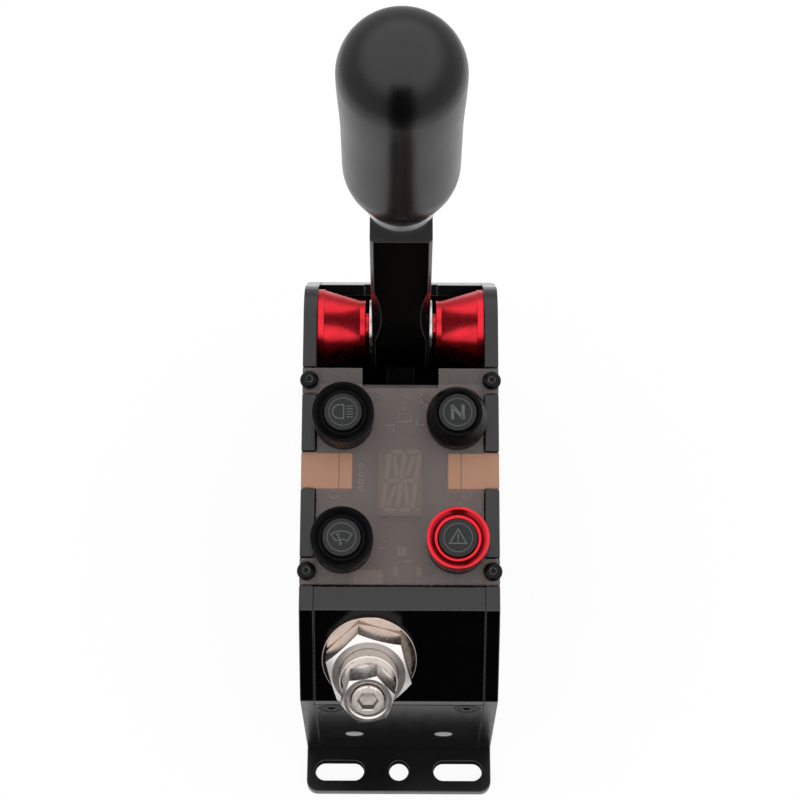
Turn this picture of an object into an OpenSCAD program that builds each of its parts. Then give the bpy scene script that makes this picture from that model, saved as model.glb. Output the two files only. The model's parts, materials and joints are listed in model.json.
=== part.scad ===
// Sequential gear shifter for a racing simulator.
// X is right, Y points away from the driver, Z is up; the origin is under the middle of the base plate.

/* [Base plate] */
// Width over both side plates, and of the base plate
body_w = 84; // [80:1:96]
// Thickness of the base plate
base_t = 6; // [5:0.5:10]
// Length of the flange in front of the body, and of the one behind it
flange_len = 20; // [18:1:30]
// Radius of the base plate's corners
corner_r = 5; // [2:0.5:8]
// Width of the flange slots
slot_w = 9; // [6:0.5:10]
// Length of the flange slots from end to end
slot_len = 22.3; // [16:0.1:24]
// Distance of the slot centres from the sides of the base plate
slot_side = 15; // [13:0.5:17]
// Diameter of the hole in the middle of each flange
flange_hole_d = 9; // [6:0.5:12]
// Distance of the slots and holes from the end of the base plate
slot_inset = 9.5; // [8:0.5:10]

/* [Body] */
// Length of the body, without the flanges
body_len = 194; // [190:1:210]
// Thickness of the side, front and rear plates
plate_t = 6; // [5:0.5:7]
// Height of the vertical front edge above the base plate
front_h = 79.5; // [76:0.5:90]
// Run of the 45 degree face, which rises as far as it runs
bevel_run = 30.5; // [29:0.5:34]
// Slope of the control panel towards the driver, in degrees
slope = 10; // [6:0.5:12]
// Distance of the lever's pivot in front of the rear face
pivot_fore = 34.8; // [32:0.1:40]
// Radius of the side plates' nose around the pivot
nose_r = 18.5; // [18:0.5:22]
// Slope of the side plates' back edge, in degrees
back_slope = 60; // [55:1:65]
// Height of the front cover's lip below the 45 degree face
lip_h = 5.5; // [4:0.5:8]
// Width of the open joint between two covers
joint_gap = 0.4; // [0.2:0.1:0.8]
// Diameter of the two holes in the front plate
front_hole_d = 8; // [6:0.5:9]
// Distance between the two holes in the front plate
front_hole_pitch = 40; // [36:1:44]
// Height of the two front holes above the base plate
front_hole_h = 25; // [20:1:30]
// Distance of the front plate screws from the side plates
front_screw_side = 7; // [6:0.5:9]
// Thickness of the rear cover
rear_cover_t = 5; // [4:0.5:5]

/* [Control panel] */
// Length of the strip between the 45 degree face and the top cover
strip_len = 10; // [8:0.5:12]
// Distance of the lever's pivot behind the top cover
pivot_gap = 26; // [25:0.1:28]
// Thickness of the top cover
cover_t = 3; // [2.5:0.5:4]
// Length of the top cover's corner lugs
lug_len = 11; // [10:0.5:12]
// Width of the lever notch in the top cover
notch_w = 32.5; // [28:0.5:36]
// Depth of the lever notch in the top cover
notch_d = 8.6; // [4:0.2:10]
// Place of the light guides' middle, as a share of the top cover's length
guide_at = 0.522; // [0.5:0.001:0.53]
// Width of the light guides, as a share of the top cover's length
guide_share = 0.164; // [0.12:0.001:0.17]
// Length of each light guide, from the side of the body inwards
guide_len = 21.6; // [18:0.1:24]
// Room between the top cover and the control board
board_drop = 8.4; // [8:0.2:10]
// Thickness of the control board
board_t = 1.6; // [1.2:0.2:2]
// Width of the gear display
display_w = 19; // [16:0.5:22]
// Length of the gear display
display_len = 29; // [26:0.5:32]
// Place of the gear display's middle, as a share of the top cover's length
display_at = 0.471; // [0.45:0.001:0.5]

/* [Push buttons] */
// Distance of the buttons from the side plates
button_side = 12; // [11.5:0.1:13.5]
// Place of the front buttons, as a share of the top cover's length
front_button_at = 0.181; // [0.17:0.001:0.2]
// Place of the rear buttons, as a share of the top cover's length
rear_button_at = 0.749; // [0.74:0.001:0.78]
// Diameter of a button's ring
ring_d = 26; // [24:0.5:27]
// Height of a button's base
bezel_base_h = 8; // [7:0.5:9]
// Height of a button's ring
ring_h = 9; // [8:0.5:11]
// Depth of the dish in a ring
dish_depth = 3; // [2:0.5:4]
// Diameter of the rim of the cone-shaped ring
cone_rim_d = 20.6; // [19.4:0.1:23]
// Diameter of a button cap
cap_d = 16; // [14:0.5:17]
// How far a button travels
button_travel = 1.2; // [0.6:0.1:1.4]

/* [Lever and knob] */
// Width of the lever
lever_w = 24.4; // [23:0.2:26]
// Depth of the lever
lever_depth = 38.4; // [34:0.2:40]
// Diameter of the lever's hub
hub_d = 31.4; // [29:0.2:33]
// Height of the lever's top above the pivot
lever_h = 113.8; // [95:0.1:125]
// Chamfer along the lever's edges
lever_chamfer = 1.3; // [0.8:0.1:2]
// Height of the lever's waist above the pivot
waist_h = 49; // [40:1:56]
// Height of the scalloped part of the lever's edges
waist_len = 54; // [40:1:60]
// Width of the scallop at its widest
waist_cut = 4; // [2:0.2:5]
// Angle that the lever swings to each side, in degrees
lever_swing = 6; // [3:0.5:7]
// Width of the lever's tail
tail_w = 12; // [10:1:14]
// Thickness of the lever's tail
tail_t = 16; // [14:1:17]
// Diameter of the knob's collar
collar_d = 29; // [24:0.5:30]
// Height of the knob's collar
collar_h = 5.5; // [3:0.5:7]
// Largest diameter of the knob
knob_d = 46.7; // [45.5:0.1:50]
// Diameter of the knob's grip, above its rounded foot
knob_grip_d = 44.8; // [42:0.2:45.4]
// Diameter of the knob's flat underside
knob_seat_d = 31; // [28:0.5:34]
// Height of the knob's rounded foot
knob_foot_h = 18.8; // [14:0.2:26]
// Height at which the knob starts to widen above its grip
knob_grip_h = 57; // [45:1:70]
// Height of the knob from its underside to its widest place
knob_waist_h = 81.8; // [75:0.2:100]

/* [Pivot] */
// Diameter of the pivot shaft
shaft_d = 10; // [8:0.5:11]
// Outer diameter of the pivot bearings
bearing_d = 22; // [19:0.5:24]
// Width of the pivot bearings without their flange
bearing_w = 6; // [5:0.5:7]
// Diameter of the bearing flange
bearing_flange_d = 25; // [24:0.5:27]
// Thickness of the bearing flange
bearing_flange_t = 1.5; // [1:0.1:2]
// Diameter of the cone's flange on the side plate
cone_flange_d = 33.8; // [30:0.2:34]
// Thickness of the cone's flange
cone_flange_t = 2.9; // [2:0.1:4]
// Diameter of the cone's small end
cone_end_d = 24.2; // [20:0.2:26]
// Length of the cone's small end
cone_end_len = 2.4; // [1.5:0.1:3]
// Length of the cone's nose, which stands on the bearing
cone_nose_len = 1.5; // [1:0.1:2]

/* [Adjuster] */
// Distance of the adjuster from the middle of the body, towards the left
adjuster_x = 12.6; // [11.5:0.1:14]
// Distance of the adjuster up the 45 degree face
adjuster_up = 20.65; // [20.5:0.05:22]
// Diameter of the adjuster's sleeve
sleeve_d = 24; // [22:0.5:25]
// Length of the sleeve in front of the 45 degree face
sleeve_out = 21; // [18:0.5:26]
// Distance of the sleeve's inner end from the drive roller
sleeve_gap = 38.2; // [36:0.1:40]
// Bore of the sleeve
sleeve_bore = 19; // [17:0.5:19.5]
// Diameter of the washer
washer_d = 40; // [36:0.5:41]
// Thickness of the washer
washer_t = 2; // [1.5:0.5:4]
// Width of the lock nut across its flats
nut_af = 32; // [30:0.5:34]
// Height of the lock nut
nut_h = 12.8; // [8:0.1:14]
// Width of the preload screw's hexagon across its flats
hex_af = 19.5; // [18.5:0.5:21]
// Height of the preload screw's hexagon
hex_h = 15; // [12:0.5:18]
// Diameter of the push rod
rod_d = 8; // [6:0.5:10]
// Diameter of the drive roller
roller_d = 10; // [9:0.5:11]
// Wire diameter of the centring springs
wire_d = 1.8; // [1.4:0.1:2]
// Number of turns of each centring spring
spring_turns = 6; // [4:1:7]

/* [Stops and sensor] */
// Distance of the stop bars from the drive pin, along the tail
stop_in = 26.2; // [23:0.1:30]
// Diameter of the stop bars
bar_d = 8; // [7:0.5:9]
// Diameter of the rubber bumpers
bumper_d = 16; // [14:0.5:17]
// Distance of the sensor's magnet from the drive pin, along the tail
magnet_in = 16.2; // [13:0.1:19]

/* [Fits] */
// Radial clearance of a running fit
run_fit = 0.03; // [0.02:0.01:0.05]
// Radial clearance of a screw in its hole
screw_fit = 0.1; // [0.05:0.05:0.2]
// Clearance around a button cap
cap_gap = 0.35; // [0.3:0.05:0.5]
// Clearance of the drive roller in the push rod's yoke
yoke_gap = 0.2; // [0.15:0.05:0.3]
// Clearance between the tail and a bumper at the end of the swing
stop_gap = 0.3; // [0.2:0.1:0.6]
// Clearance between the turning bearing and the cone's nose
face_gap = 0.1; // [0.05:0.05:0.2]

/* [Hidden] */
$fn = 64;

black = [0.07, 0.07, 0.075];
satin_black = [0.1, 0.1, 0.105];
steel = [0.72, 0.72, 0.7];
nickel = [0.8, 0.79, 0.76];
anodised_red = [0.8, 0.07, 0.09];
smoke = [0.3, 0.27, 0.26, 0.75];
board_green = [0.08, 0.2, 0.12];
guide_white = [0.85, 0.7, 0.58];
rubber = [0.05, 0.05, 0.05];
brass = [0.75, 0.6, 0.3];

// Body
in_x = body_w / 2 - plate_t;
edge_x = body_w / 2 - plate_t / 2;
front_y = -body_len / 2;
rear_y = body_len / 2;
base_len = body_len + 2 * flange_len;
slot_x = body_w / 2 - slot_side;
slot_y = base_len / 2 - slot_inset;
pivot_back = body_len - pivot_fore;
panel_y = front_y + bevel_run;
panel_z = base_t + front_h + bevel_run;
pivot_y = front_y + pivot_back;
pivot_z = panel_z + (pivot_back - bevel_run) * tan(slope) - nose_r / cos(slope);
nose_top = [pivot_y - nose_r * sin(slope), pivot_z + nose_r * cos(slope)];
nose_back = [pivot_y + nose_r * sin(back_slope), pivot_z + nose_r * cos(back_slope)];
back_corner = [rear_y, nose_back[1] - (rear_y - nose_back[0]) * tan(back_slope)];
lip_z = base_t + front_h - lip_h;
rear_lip_h = 5;
rear_notch_d = 5;
inside_w = 2 * in_x;

// Screws: nominal diameter, head diameter, head height
m3 = [3, 5.7, 1.65];
m4 = [4, 8, 2.2];
m5 = [5, 10, 2.7];
m6 = [6, 11.6, 3.1];
screw_grip = 12;
tie_d = 11;
tie_h = 17;
tie_y = front_y + plate_t;
tie_drop = 3;
tie_z = lip_z - tie_drop - tie_h;
front_screw_x = in_x - front_screw_side;
front_screw_z = lip_z - 6.5;
base_screw_in = 20;
base_screw_y = [for (i = [-1.5 : 1.5]) i * (body_len - 2 * base_screw_in) / 3];
lug_grip = 8;

// Panel; u runs back along it and w stands on it
cover_gap = 0.75;
cover_u = strip_len + cover_gap;
cover_end = (pivot_back - bevel_run - pivot_gap) / cos(slope);
cover_len = cover_end - cover_u;
guide_w = cover_len * guide_share;
guide_u = cover_u + cover_len * guide_at - guide_w / 2;
display_u = cover_u + cover_len * display_at;
lug_screw_u = [cover_u + lug_len / 2, cover_end - lug_len / 2];
recess_gap = 0.6;
tab_r = 1;
board_w = -cover_t - board_drop;
board_u = cover_u + 2;
board_end = cover_end - 4.5;
board_side_gap = 1;
rail_size = 8;
rail_u = [board_u + 2, board_end - 2 - rail_size];
rail_w = board_w - board_t - rail_size;
board_screw_x = in_x - 2 * screw_grip;

// Push buttons
button_x = in_x - button_side;
front_button_u = cover_u + cover_len * front_button_at;
rear_button_u = cover_u + cover_len * rear_button_at;
buttons = [[-button_x, rear_button_u], [button_x, rear_button_u],
           [-button_x, front_button_u], [button_x, front_button_u]];
rim_h = bezel_base_h + ring_h;
rim_wall = 0.6;
ring_flat_w = 1.25;
bezel_floor = 3;
neck_d = 13;
bezel_nut_h = 3;
bezel_nut_af = 16;
stem_d = 7;
stem_gap = 0.4;
cap_flange = 1.2;
cap_flange_t = 1.5;
switch_size = 12;
switch_h = 4.3;
well_depth = 2.6;
well_gap = 0.3;

// Lever
hub_r = hub_d / 2;
lever_top = pivot_z + lever_h;
waist_depth = waist_cut / sqrt(2);
waist_r = (pow(waist_len / 2, 2) + pow(waist_depth, 2)) / (2 * waist_depth);
stud_d = 12;
stud_in_lever = 20;
stud_in_knob = 35;
knob_z = lever_top + collar_h;
knob_drop = (knob_grip_d - knob_seat_d) / 2;
knob_foot_r = (pow(knob_drop, 2) + pow(knob_foot_h, 2)) / (2 * knob_drop);

// Pivot, measured along X from the middle
flange_x = lever_w / 2 + bearing_flange_t;
nose_x = flange_x + face_gap;
cone_end_x = nose_x + cone_nose_len;
cone_x = cone_end_x + cone_end_len;
cone_nose_d = shaft_d + 3;
shaft_web = 0.3;
shaft_seat = plate_t - m5[2] - shaft_web;
cone_gap = 0.6;

// Adjuster; its axis is square to the 45 degree face and passes below the pivot
adjuster_y = front_y + adjuster_up / sqrt(2);
adjuster_z = base_t + front_h + adjuster_up / sqrt(2);
pin_depth = (pivot_y - adjuster_y - pivot_z + adjuster_z) / sqrt(2);
tail_len = (pivot_y - adjuster_y + pivot_z - adjuster_z) / sqrt(2);
sleeve_in = pin_depth - sleeve_gap;
plug_d = 16;
plug_depth = 14;
stop_d = 8;
stop_head_d = 13.4;
stop_head_h = 8;
stop_proud = 1;
stop_well_d = stop_head_d + 0.6;
stop_well_edge = 1.2;
hex_foot_d = 20.6;
hex_foot_h = 3;
nut_turn = 44.5;
hex_turn = 11.4;
stop_reach_in = 18;
gland_h = 4;
piston_t = 4;
piston_l = (sleeve_out - plug_depth + gland_h - sleeve_in) / 2;
spring_d = sleeve_bore - 1.2;
spring_gap = 0.3;
pin_d = 6;
roller_w = 10;
yoke_w = 9.6;
yoke_len = 22;
yoke_wall = 5.4;
yoke_slot = roller_d + 2 * yoke_gap;
yoke_window = roller_d + 4;
tail_end_r = tail_t / 2;

// Stops and sensor
stop_reach = tail_len - stop_in;
magnet_reach = tail_len - magnet_in;
stop_off = (tail_t / 2 + bumper_d / 2 + stop_gap + stop_reach * sin(lever_swing)) / cos(lever_swing);
bumper_len = tail_w + 4;
magnet_d = 8;
magnet_t = 2;
sensor_gap = 2.4;
sensor_size = 21;
sensor_x = tail_w / 2 + magnet_t + sensor_gap;
sensor_t = 1.6;
bracket_t = 2;
bracket_foot = 18;
magnet_y = pivot_y - magnet_reach / sqrt(2);
magnet_z = pivot_z - magnet_reach / sqrt(2);

// USB socket in the rear plate
usb_w = 9;
usb_h = 3.2;
usb_wall = 0.4;
usb_len = 10;
usb_z = base_t + 30;

function unit(a) = a / norm(a);
function inset(p, n1, n2, t) = p + t * (n1 + n2) / (1 + n1 * n2);
function panel_yz(u, w) =
    [panel_y + u * cos(slope) - w * sin(slope), panel_z + u * sin(slope) + w * cos(slope)];
function bar_yz(side) = [pivot_y - (stop_reach - side * stop_off) / sqrt(2),
                         pivot_z - (stop_reach + side * stop_off) / sqrt(2)];

// Where screws go through a side plate into the tie, the bars and the rails, as [y, z]
side_screw_yz = [
    [tie_y + tie_d / 2, tie_z + tie_h / 2], bar_yz(-1), bar_yz(1),
    for (u = rail_u) panel_yz(u + rail_size / 2, rail_w + rail_size / 2)
];

// Where smaller screws hold the front cover, the rear plate and the rear cover
bevel_screw_at = [8, 36];
rear_screw_h = [15, 70];
back_screw_at = 14;
cover_screw_yz = [
    for (a = bevel_screw_at) [front_y, base_t + front_h] + a * unit([1, 1]) + plate_t / 2 * unit([1, -1]),
    for (h = rear_screw_h) [rear_y - plate_t / 2, base_t + h],
    back_corner + back_screw_at * [-cos(back_slope), sin(back_slope)]
        - rear_cover_t / 2 * [sin(back_slope), cos(back_slope)]
];

// Extrudes an outline drawn in Y and Z along X, from the middle outwards to both sides
module across(w) { translate([-w / 2, 0, 0]) rotate([90, 0, 90]) linear_extrude(w) children(); }

// Places children on the panel, x to the side, u back along it, w above it
module on_panel(x, u, w) {
    translate([0, panel_y, panel_z]) rotate([slope, 0, 0]) translate([x, u, w]) children();
}

// Places children along the adjuster's axis, which is Z and points out of the 45 degree face
module on_adjuster(l) {
    translate([-adjuster_x, adjuster_y, adjuster_z]) rotate([45, 0, 0]) translate([0, 0, l]) children();
}

// Places children on the pivot with Z along the tail and Y across it, towards the driver
module on_tail(r) { translate([0, pivot_y, pivot_z]) rotate([135, 0, 0]) translate([0, 0, r]) children(); }

module ring(d_out, d_in, h) {
    difference() {
        cylinder(d = d_out, h = h);
        translate([0, 0, -1]) cylinder(d = d_in, h = h + 2);
    }
}

module hexagon(af, h) { cylinder(d = af / cos(30), h = h, $fn = 6); }

// Hexagon with both ends chamfered at 30 degrees down to a round face
module nut_shape(af, h, face_d) {
    spread = 2 * h / tan(30);
    intersection() {
        hexagon(af, h);
        cylinder(d1 = face_d + spread, d2 = face_d, h = h);
        cylinder(d1 = face_d, d2 = face_d + spread, h = h);
    }
}

module socket(d, h) { translate([0, 0, -h]) hexagon(0.6 * d, h + 1); }

// Countersunk screw, its flat head at z = 0 and its shank below
module flat_screw(m, len) {
    difference() {
        union() {
            translate([0, 0, -m[2]]) cylinder(d1 = m[0], d2 = m[1], h = m[2]);
            translate([0, 0, -len]) cylinder(d = m[0], h = len - m[2] / 2);
        }
        socket(m[0], m[2] * 0.8);
    }
}

module flat_screw_hole(m, len) {
    d = m[0] + 2 * screw_fit;
    translate([0, 0, -m[2]]) cylinder(d1 = d, d2 = m[1] + 2 * screw_fit, h = m[2]);
    cylinder(d = m[1] + 2 * screw_fit, h = 1);
    translate([0, 0, -len - screw_fit]) cylinder(d = d, h = len);
}

// Button-head screw, standing on z = 0
module dome_screw(m, len) {
    difference() {
        union() {
            cylinder(d1 = m[1], d2 = 0.62 * m[1], h = m[2]);
            translate([0, 0, -len]) cylinder(d = m[0], h = len + 1);
        }
        translate([0, 0, m[2]]) socket(m[0], m[2] * 0.6);
    }
}

module screw_hole(m, len) {
    translate([0, 0, -len - screw_fit]) cylinder(d = m[0] + 2 * screw_fit, h = len + 1);
}

module slot(len, w) {
    square([len - w, w], center = true);
    for (side = [-1, 1]) translate([side * (len - w) / 2, 0]) circle(d = w);
}

module rounded_rect(w, l, r) {
    square([w - 2 * r, l], center = true);
    square([w, l - 2 * r], center = true);
    for (sx = [-1, 1], sy = [-1, 1]) translate([sx * (w / 2 - r), sy * (l / 2 - r)]) circle(r);
}

// Centring spring as one tube, standing on z = 0
function coil_ring(a, pitch, r, wire) = [
    for (s = [0 : 5]) let (
        b = s * 60,
        q = r + wire / 2 * cos(b)
    ) [q * cos(a), q * sin(a), wire / 2 + a / 360 * pitch + wire / 2 * sin(b)]
];

module coil(d, wire, turns, h) {
    turn_steps = 8;
    steps = turns * turn_steps;
    pitch = (h - wire) / turns;
    points = [for (i = [0 : steps]) each coil_ring(i * 360 / turn_steps, pitch, (d - wire) / 2, wire)];
    sides = [for (i = [0 : steps - 1], s = [0 : 5]) let (
        a = i * 6 + s,
        b = i * 6 + (s + 1) % 6
    ) each [[a, b, a + 6], [b, b + 6, a + 6]]];
    first = [for (s = [1 : 4]) [0, s + 1, s]];
    last = [for (s = [1 : 4]) [steps * 6, steps * 6 + s, steps * 6 + s + 1]];
    polyhedron(points, concat(sides, first, last));
    echo(least_spring_gap = pitch - wire);
}

// Base plate with the mounting slots of both flanges
module base_plate() {
    color(black) difference() {
        linear_extrude(base_t) difference() {
            rounded_rect(body_w, base_len, corner_r);
            for (end = [-1, 1]) translate([0, end * slot_y]) {
                circle(d = flange_hole_d);
                for (side = [-1, 1]) translate([side * slot_x, 0]) slot(slot_len, slot_w);
            }
        }
        base_screw_places() flat_screw_hole(m3, base_t + screw_grip);
        bracket_places() screw_hole(m3, bracket_t + base_t - 1);
    }
}

module base_screw_places() {
    for (side = [-1, 1], y = base_screw_y) translate([side * edge_x, y, 0]) rotate([180, 0, 0]) children();
}

module base_screws() { color(steel) base_screw_places() flat_screw(m3, base_t + screw_grip); }

module side_outline() {
    polygon([[front_y, base_t], [rear_y, base_t], back_corner, nose_back, nose_top, [panel_y, panel_z],
             [front_y, base_t + front_h]]);
    translate([pivot_y, pivot_z]) circle(nose_r);
}

// Recess in the top edge of a side plate, from u1 to u2 along the panel
module edge_recess(u1, u2, depth) {
    translate([panel_y, panel_z]) rotate(slope) translate([u1, -depth]) square([u2 - u1, 2 * depth]);
}

module side_screw_places() {
    for (side = [-1, 1], p = side_screw_yz)
        translate([side * body_w / 2, p[0], p[1]]) rotate([0, side * 90, 0]) children();
}

module side_screws() { color(steel) side_screw_places() flat_screw(m4, plate_t + screw_grip); }

module cover_screw_places() {
    for (side = [-1, 1], p = cover_screw_yz)
        translate([side * body_w / 2, p[0], p[1]]) rotate([0, side * 90, 0]) children();
}

module cover_screws() { color(steel) cover_screw_places() flat_screw(m3, plate_t + screw_grip); }

module side_plate(side) {
    color(black) difference() {
        translate([side * edge_x, 0, 0]) across(plate_t) difference() {
            side_outline();
            edge_recess(cover_u - recess_gap, cover_u + lug_len + recess_gap, cover_t);
            edge_recess(guide_u - recess_gap, guide_u + guide_w + recess_gap, -board_w);
            edge_recess(cover_end - lug_len - recess_gap, cover_end + recess_gap, cover_t);
        }
        translate([side * in_x, pivot_y, pivot_z]) rotate([0, side * 90, 0]) {
            translate([0, 0, -1]) cylinder(d = shaft_d + 2 * run_fit, h = shaft_seat + 1);
            translate([0, 0, plate_t]) flat_screw_hole(m5, plate_t);
        }
        side_screw_places() flat_screw_hole(m4, plate_t + 1);
        cover_screw_places() flat_screw_hole(m3, plate_t + 1);
        base_screw_places() flat_screw_hole(m3, base_t + screw_grip);
        for (u = lug_screw_u) on_panel(side * edge_x, u, 0) screw_hole(m4, cover_t + lug_grip);
    }
}

module side_plate_left() { side_plate(-1); }

module side_plate_right() { side_plate(1); }

module front_plate() {
    color(black) difference() {
        translate([-in_x, front_y, base_t]) cube([inside_w, plate_t, lip_z - joint_gap - base_t]);
        for (side = [-1, 1]) translate([side * front_hole_pitch / 2, front_y - 1, base_t + front_hole_h])
            rotate([-90, 0, 0]) cylinder(d = front_hole_d, h = plate_t + 2);
        front_screw_places() flat_screw_hole(m6, plate_t + 1);
    }
}

module front_screw_places() {
    for (side = [-1, 1]) translate([side * front_screw_x, front_y, front_screw_z])
        rotate([90, 0, 0]) children();
}

module front_plate_screws() { color(steel) front_screw_places() flat_screw(m6, plate_t + tie_d - 2); }

// Bar that ties the side plates and carries the front plate
module front_tie() {
    color(black) difference() {
        translate([-in_x, tie_y, tie_z]) cube([inside_w, tie_d, tie_h]);
        front_screw_places() flat_screw_hole(m6, plate_t + tie_d - 2);
        side_screw_places() flat_screw_hole(m4, plate_t + screw_grip);
    }
}

// Front cover: the lip, the 45 degree face and the strip in front of the top cover
module front_cover() {
    n_front = [1, 0];
    n_bevel = unit([1, -1]);
    n_panel = [sin(slope), -cos(slope)];
    foot = [front_y, base_t + front_h];
    brow = [panel_y, panel_z];
    end = brow + strip_len * [cos(slope), sin(slope)];
    color(black) difference() {
        across(inside_w) polygon([
            [front_y, lip_z], foot, brow, end, end + plate_t * n_panel,
            inset(brow, n_bevel, n_panel, plate_t), inset(foot, n_front, n_bevel, plate_t),
            [front_y + plate_t, lip_z]
        ]);
        on_adjuster(-3 * plate_t) cylinder(d = sleeve_d + 2 * run_fit, h = 4 * plate_t);
        cover_screw_places() flat_screw_hole(m3, plate_t + screw_grip);
    }
}

module rear_plate() {
    color(black) difference() {
        translate([-in_x, rear_y - plate_t, base_t])
            cube([inside_w, plate_t, back_corner[1] - rear_lip_h - joint_gap - base_t]);
        translate([0, rear_y, usb_z]) rotate([-90, 0, 0]) translate([0, 0, -plate_t - 1])
            linear_extrude(plate_t + 2) slot(usb_w, usb_h);
        cover_screw_places() flat_screw_hole(m3, plate_t + screw_grip);
    }
}

// Sloping cover behind the lever, flush with the side plates' back edges, notched for the lever
module rear_cover() {
    n_rear = [-1, 0];
    n_back = [-sin(back_slope), -cos(back_slope)];
    up = [-cos(back_slope), sin(back_slope)];
    clear_r = cone_flange_d / 2 + cone_gap;
    back_reach = norm(nose_back - back_corner) - sqrt(pow(clear_r, 2) - pow(nose_r - rear_cover_t, 2));
    top = back_corner + back_reach * up;
    color(black) difference() {
        across(inside_w) polygon([
            [rear_y, back_corner[1] - rear_lip_h], back_corner, top, top + rear_cover_t * n_back,
            inset(back_corner, n_rear, n_back, rear_cover_t),
            [rear_y - rear_cover_t, back_corner[1] - rear_lip_h]
        ]);
        translate([-notch_w / 2, top[0] - back_reach, top[1] - rear_notch_d])
            cube([notch_w, 2 * back_reach, 2 * rear_notch_d]);
        cover_screw_places() flat_screw_hole(m3, plate_t + screw_grip);
    }
}

// Socket shell with its tongue, flush with the rear plate
module usb_socket() {
    color(nickel) translate([0, rear_y - usb_len, usb_z]) rotate([-90, 0, 0]) difference() {
        linear_extrude(usb_len) slot(usb_w, usb_h);
        translate([0, 0, 1]) linear_extrude(usb_len) difference() {
            slot(usb_w - 2 * usb_wall, usb_h - 2 * usb_wall);
            square([usb_w - 4 * usb_wall - 1, 0.7], center = true);
        }
    }
}

// Top cover of smoked acrylic, with lugs on the side plates and a notch for the lever
module top_cover() {
    tabs = [[cover_u + lug_len, guide_u], [guide_u + guide_w, cover_end - lug_len]];
    color(smoke) difference() {
        on_panel(0, 0, -cover_t) linear_extrude(cover_t) difference() {
            translate([-body_w / 2, cover_u]) square([body_w, cover_len]);
            for (side = [-1, 1], t = tabs) translate([side * body_w / 2, (t[0] + t[1]) / 2])
                rounded_rect(2 * (plate_t + recess_gap), t[1] - t[0], tab_r);
            translate([-notch_w / 2, cover_end - notch_d]) square([notch_w, notch_d + 1]);
        }
        for (side = [-1, 1], u = lug_screw_u) on_panel(side * edge_x, u, 0) screw_hole(m4, cover_t);
        for (b = buttons) on_panel(b[0], b[1], -cover_t - 1)
            cylinder(d = neck_d + 2 * screw_fit, h = cover_t + 2);
    }
}

module top_cover_screws() {
    color(steel) for (side = [-1, 1], u = lug_screw_u)
        on_panel(side * edge_x, u, 0) dome_screw(m4, cover_t + lug_grip);
}

module board_screw_places() {
    for (side = [-1, 1], u = rail_u) on_panel(side * board_screw_x, u + rail_size / 2, board_w) children();
}

module control_board() {
    color(board_green) difference() {
        on_panel(board_side_gap - in_x, board_u, board_w - board_t)
            cube([inside_w - 2 * board_side_gap, board_end - board_u, board_t]);
        board_screw_places() screw_hole(m3, board_t);
    }
}

module board_screws() { color(steel) board_screw_places() dome_screw(m3, board_t + rail_size - 3); }

// Rails that tie the side plates and carry the control board
module board_rails() {
    color(black) difference() {
        for (u = rail_u) on_panel(-in_x, u, rail_w) cube([inside_w, rail_size, rail_size]);
        board_screw_places() screw_hole(m3, board_t + rail_size - 3);
        side_screw_places() flat_screw_hole(m4, plate_t + screw_grip);
    }
}

module gear_display() {
    color(satin_black) on_panel(-display_w / 2, display_u - display_len / 2, board_w)
        cube([display_w, display_len, board_drop - 0.4]);
}

module light_guide(side) {
    color(guide_white) on_panel(side > 0 ? body_w / 2 - guide_len : -body_w / 2, guide_u, board_w)
        cube([guide_len, guide_w, board_drop]);
}

module light_guide_left() { light_guide(-1); }

module light_guide_right() { light_guide(1); }

// Base of a push button: a cup on the top cover with a threaded neck below
module bezel_base() {
    neck_end = -cover_t - bezel_nut_h - 0.5;
    rotate_extrude() difference() {
        polygon([
            [0, neck_end], [neck_d / 2, neck_end], [neck_d / 2, 0], [ring_d / 2 - 0.8, 0],
            [ring_d / 2 - 0.4, 0.4], [ring_d / 2 - 0.4, bezel_base_h], [0, bezel_base_h]
        ]);
        translate([-1, neck_end - 1]) square([stem_d / 2 + stem_gap + 1, bezel_base_h + 10]);
        translate([-1, bezel_floor]) square([cap_d / 2 + cap_flange + cap_gap + 1, bezel_base_h]);
    }
}

module bezel_bases() { color(satin_black) for (b = buttons) on_panel(b[0], b[1], 0) bezel_base(); }

module bezel_nuts() {
    color(brass) for (b = buttons) on_panel(b[0], b[1], -cover_t - bezel_nut_h) difference() {
        hexagon(bezel_nut_af, bezel_nut_h);
        translate([0, 0, -1]) cylinder(d = neck_d + 2 * screw_fit, h = bezel_nut_h + 2);
    }
}

// Dished ring around a cap, standing on the button's base
module dished_ring() {
    flat_r = cap_d / 2 + cap_gap + ring_flat_w;
    rotate_extrude() polygon([
        [cap_d / 2 + cap_gap, bezel_base_h], [ring_d / 2 - 0.4, bezel_base_h],
        [ring_d / 2, bezel_base_h + 0.4], [ring_d / 2, rim_h - 0.3], [ring_d / 2 - 0.3, rim_h],
        [ring_d / 2 - rim_wall, rim_h], [flat_r, rim_h - dish_depth],
        [cap_d / 2 + cap_gap, rim_h - dish_depth]
    ]);
}

// Cone-shaped ring around a cap
module cone_ring() {
    rotate_extrude() polygon([
        [cap_d / 2 + cap_gap, bezel_base_h], [ring_d / 2 - 0.4, bezel_base_h],
        [ring_d / 2, bezel_base_h + 0.4], [ring_d / 2, bezel_base_h + 1],
        [cone_rim_d / 2, rim_h], [cone_rim_d / 2 - 0.8, rim_h], [cap_d / 2 + cap_gap, rim_h - 0.8]
    ]);
}

module headlight_ring() { color(satin_black) on_panel(-button_x, rear_button_u, 0) dished_ring(); }

module neutral_ring() { color(satin_black) on_panel(button_x, rear_button_u, 0) cone_ring(); }

module wiper_ring() { color(satin_black) on_panel(-button_x, front_button_u, 0) dished_ring(); }

module hazard_ring() { color(anodised_red) on_panel(button_x, front_button_u, 0) dished_ring(); }

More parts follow.
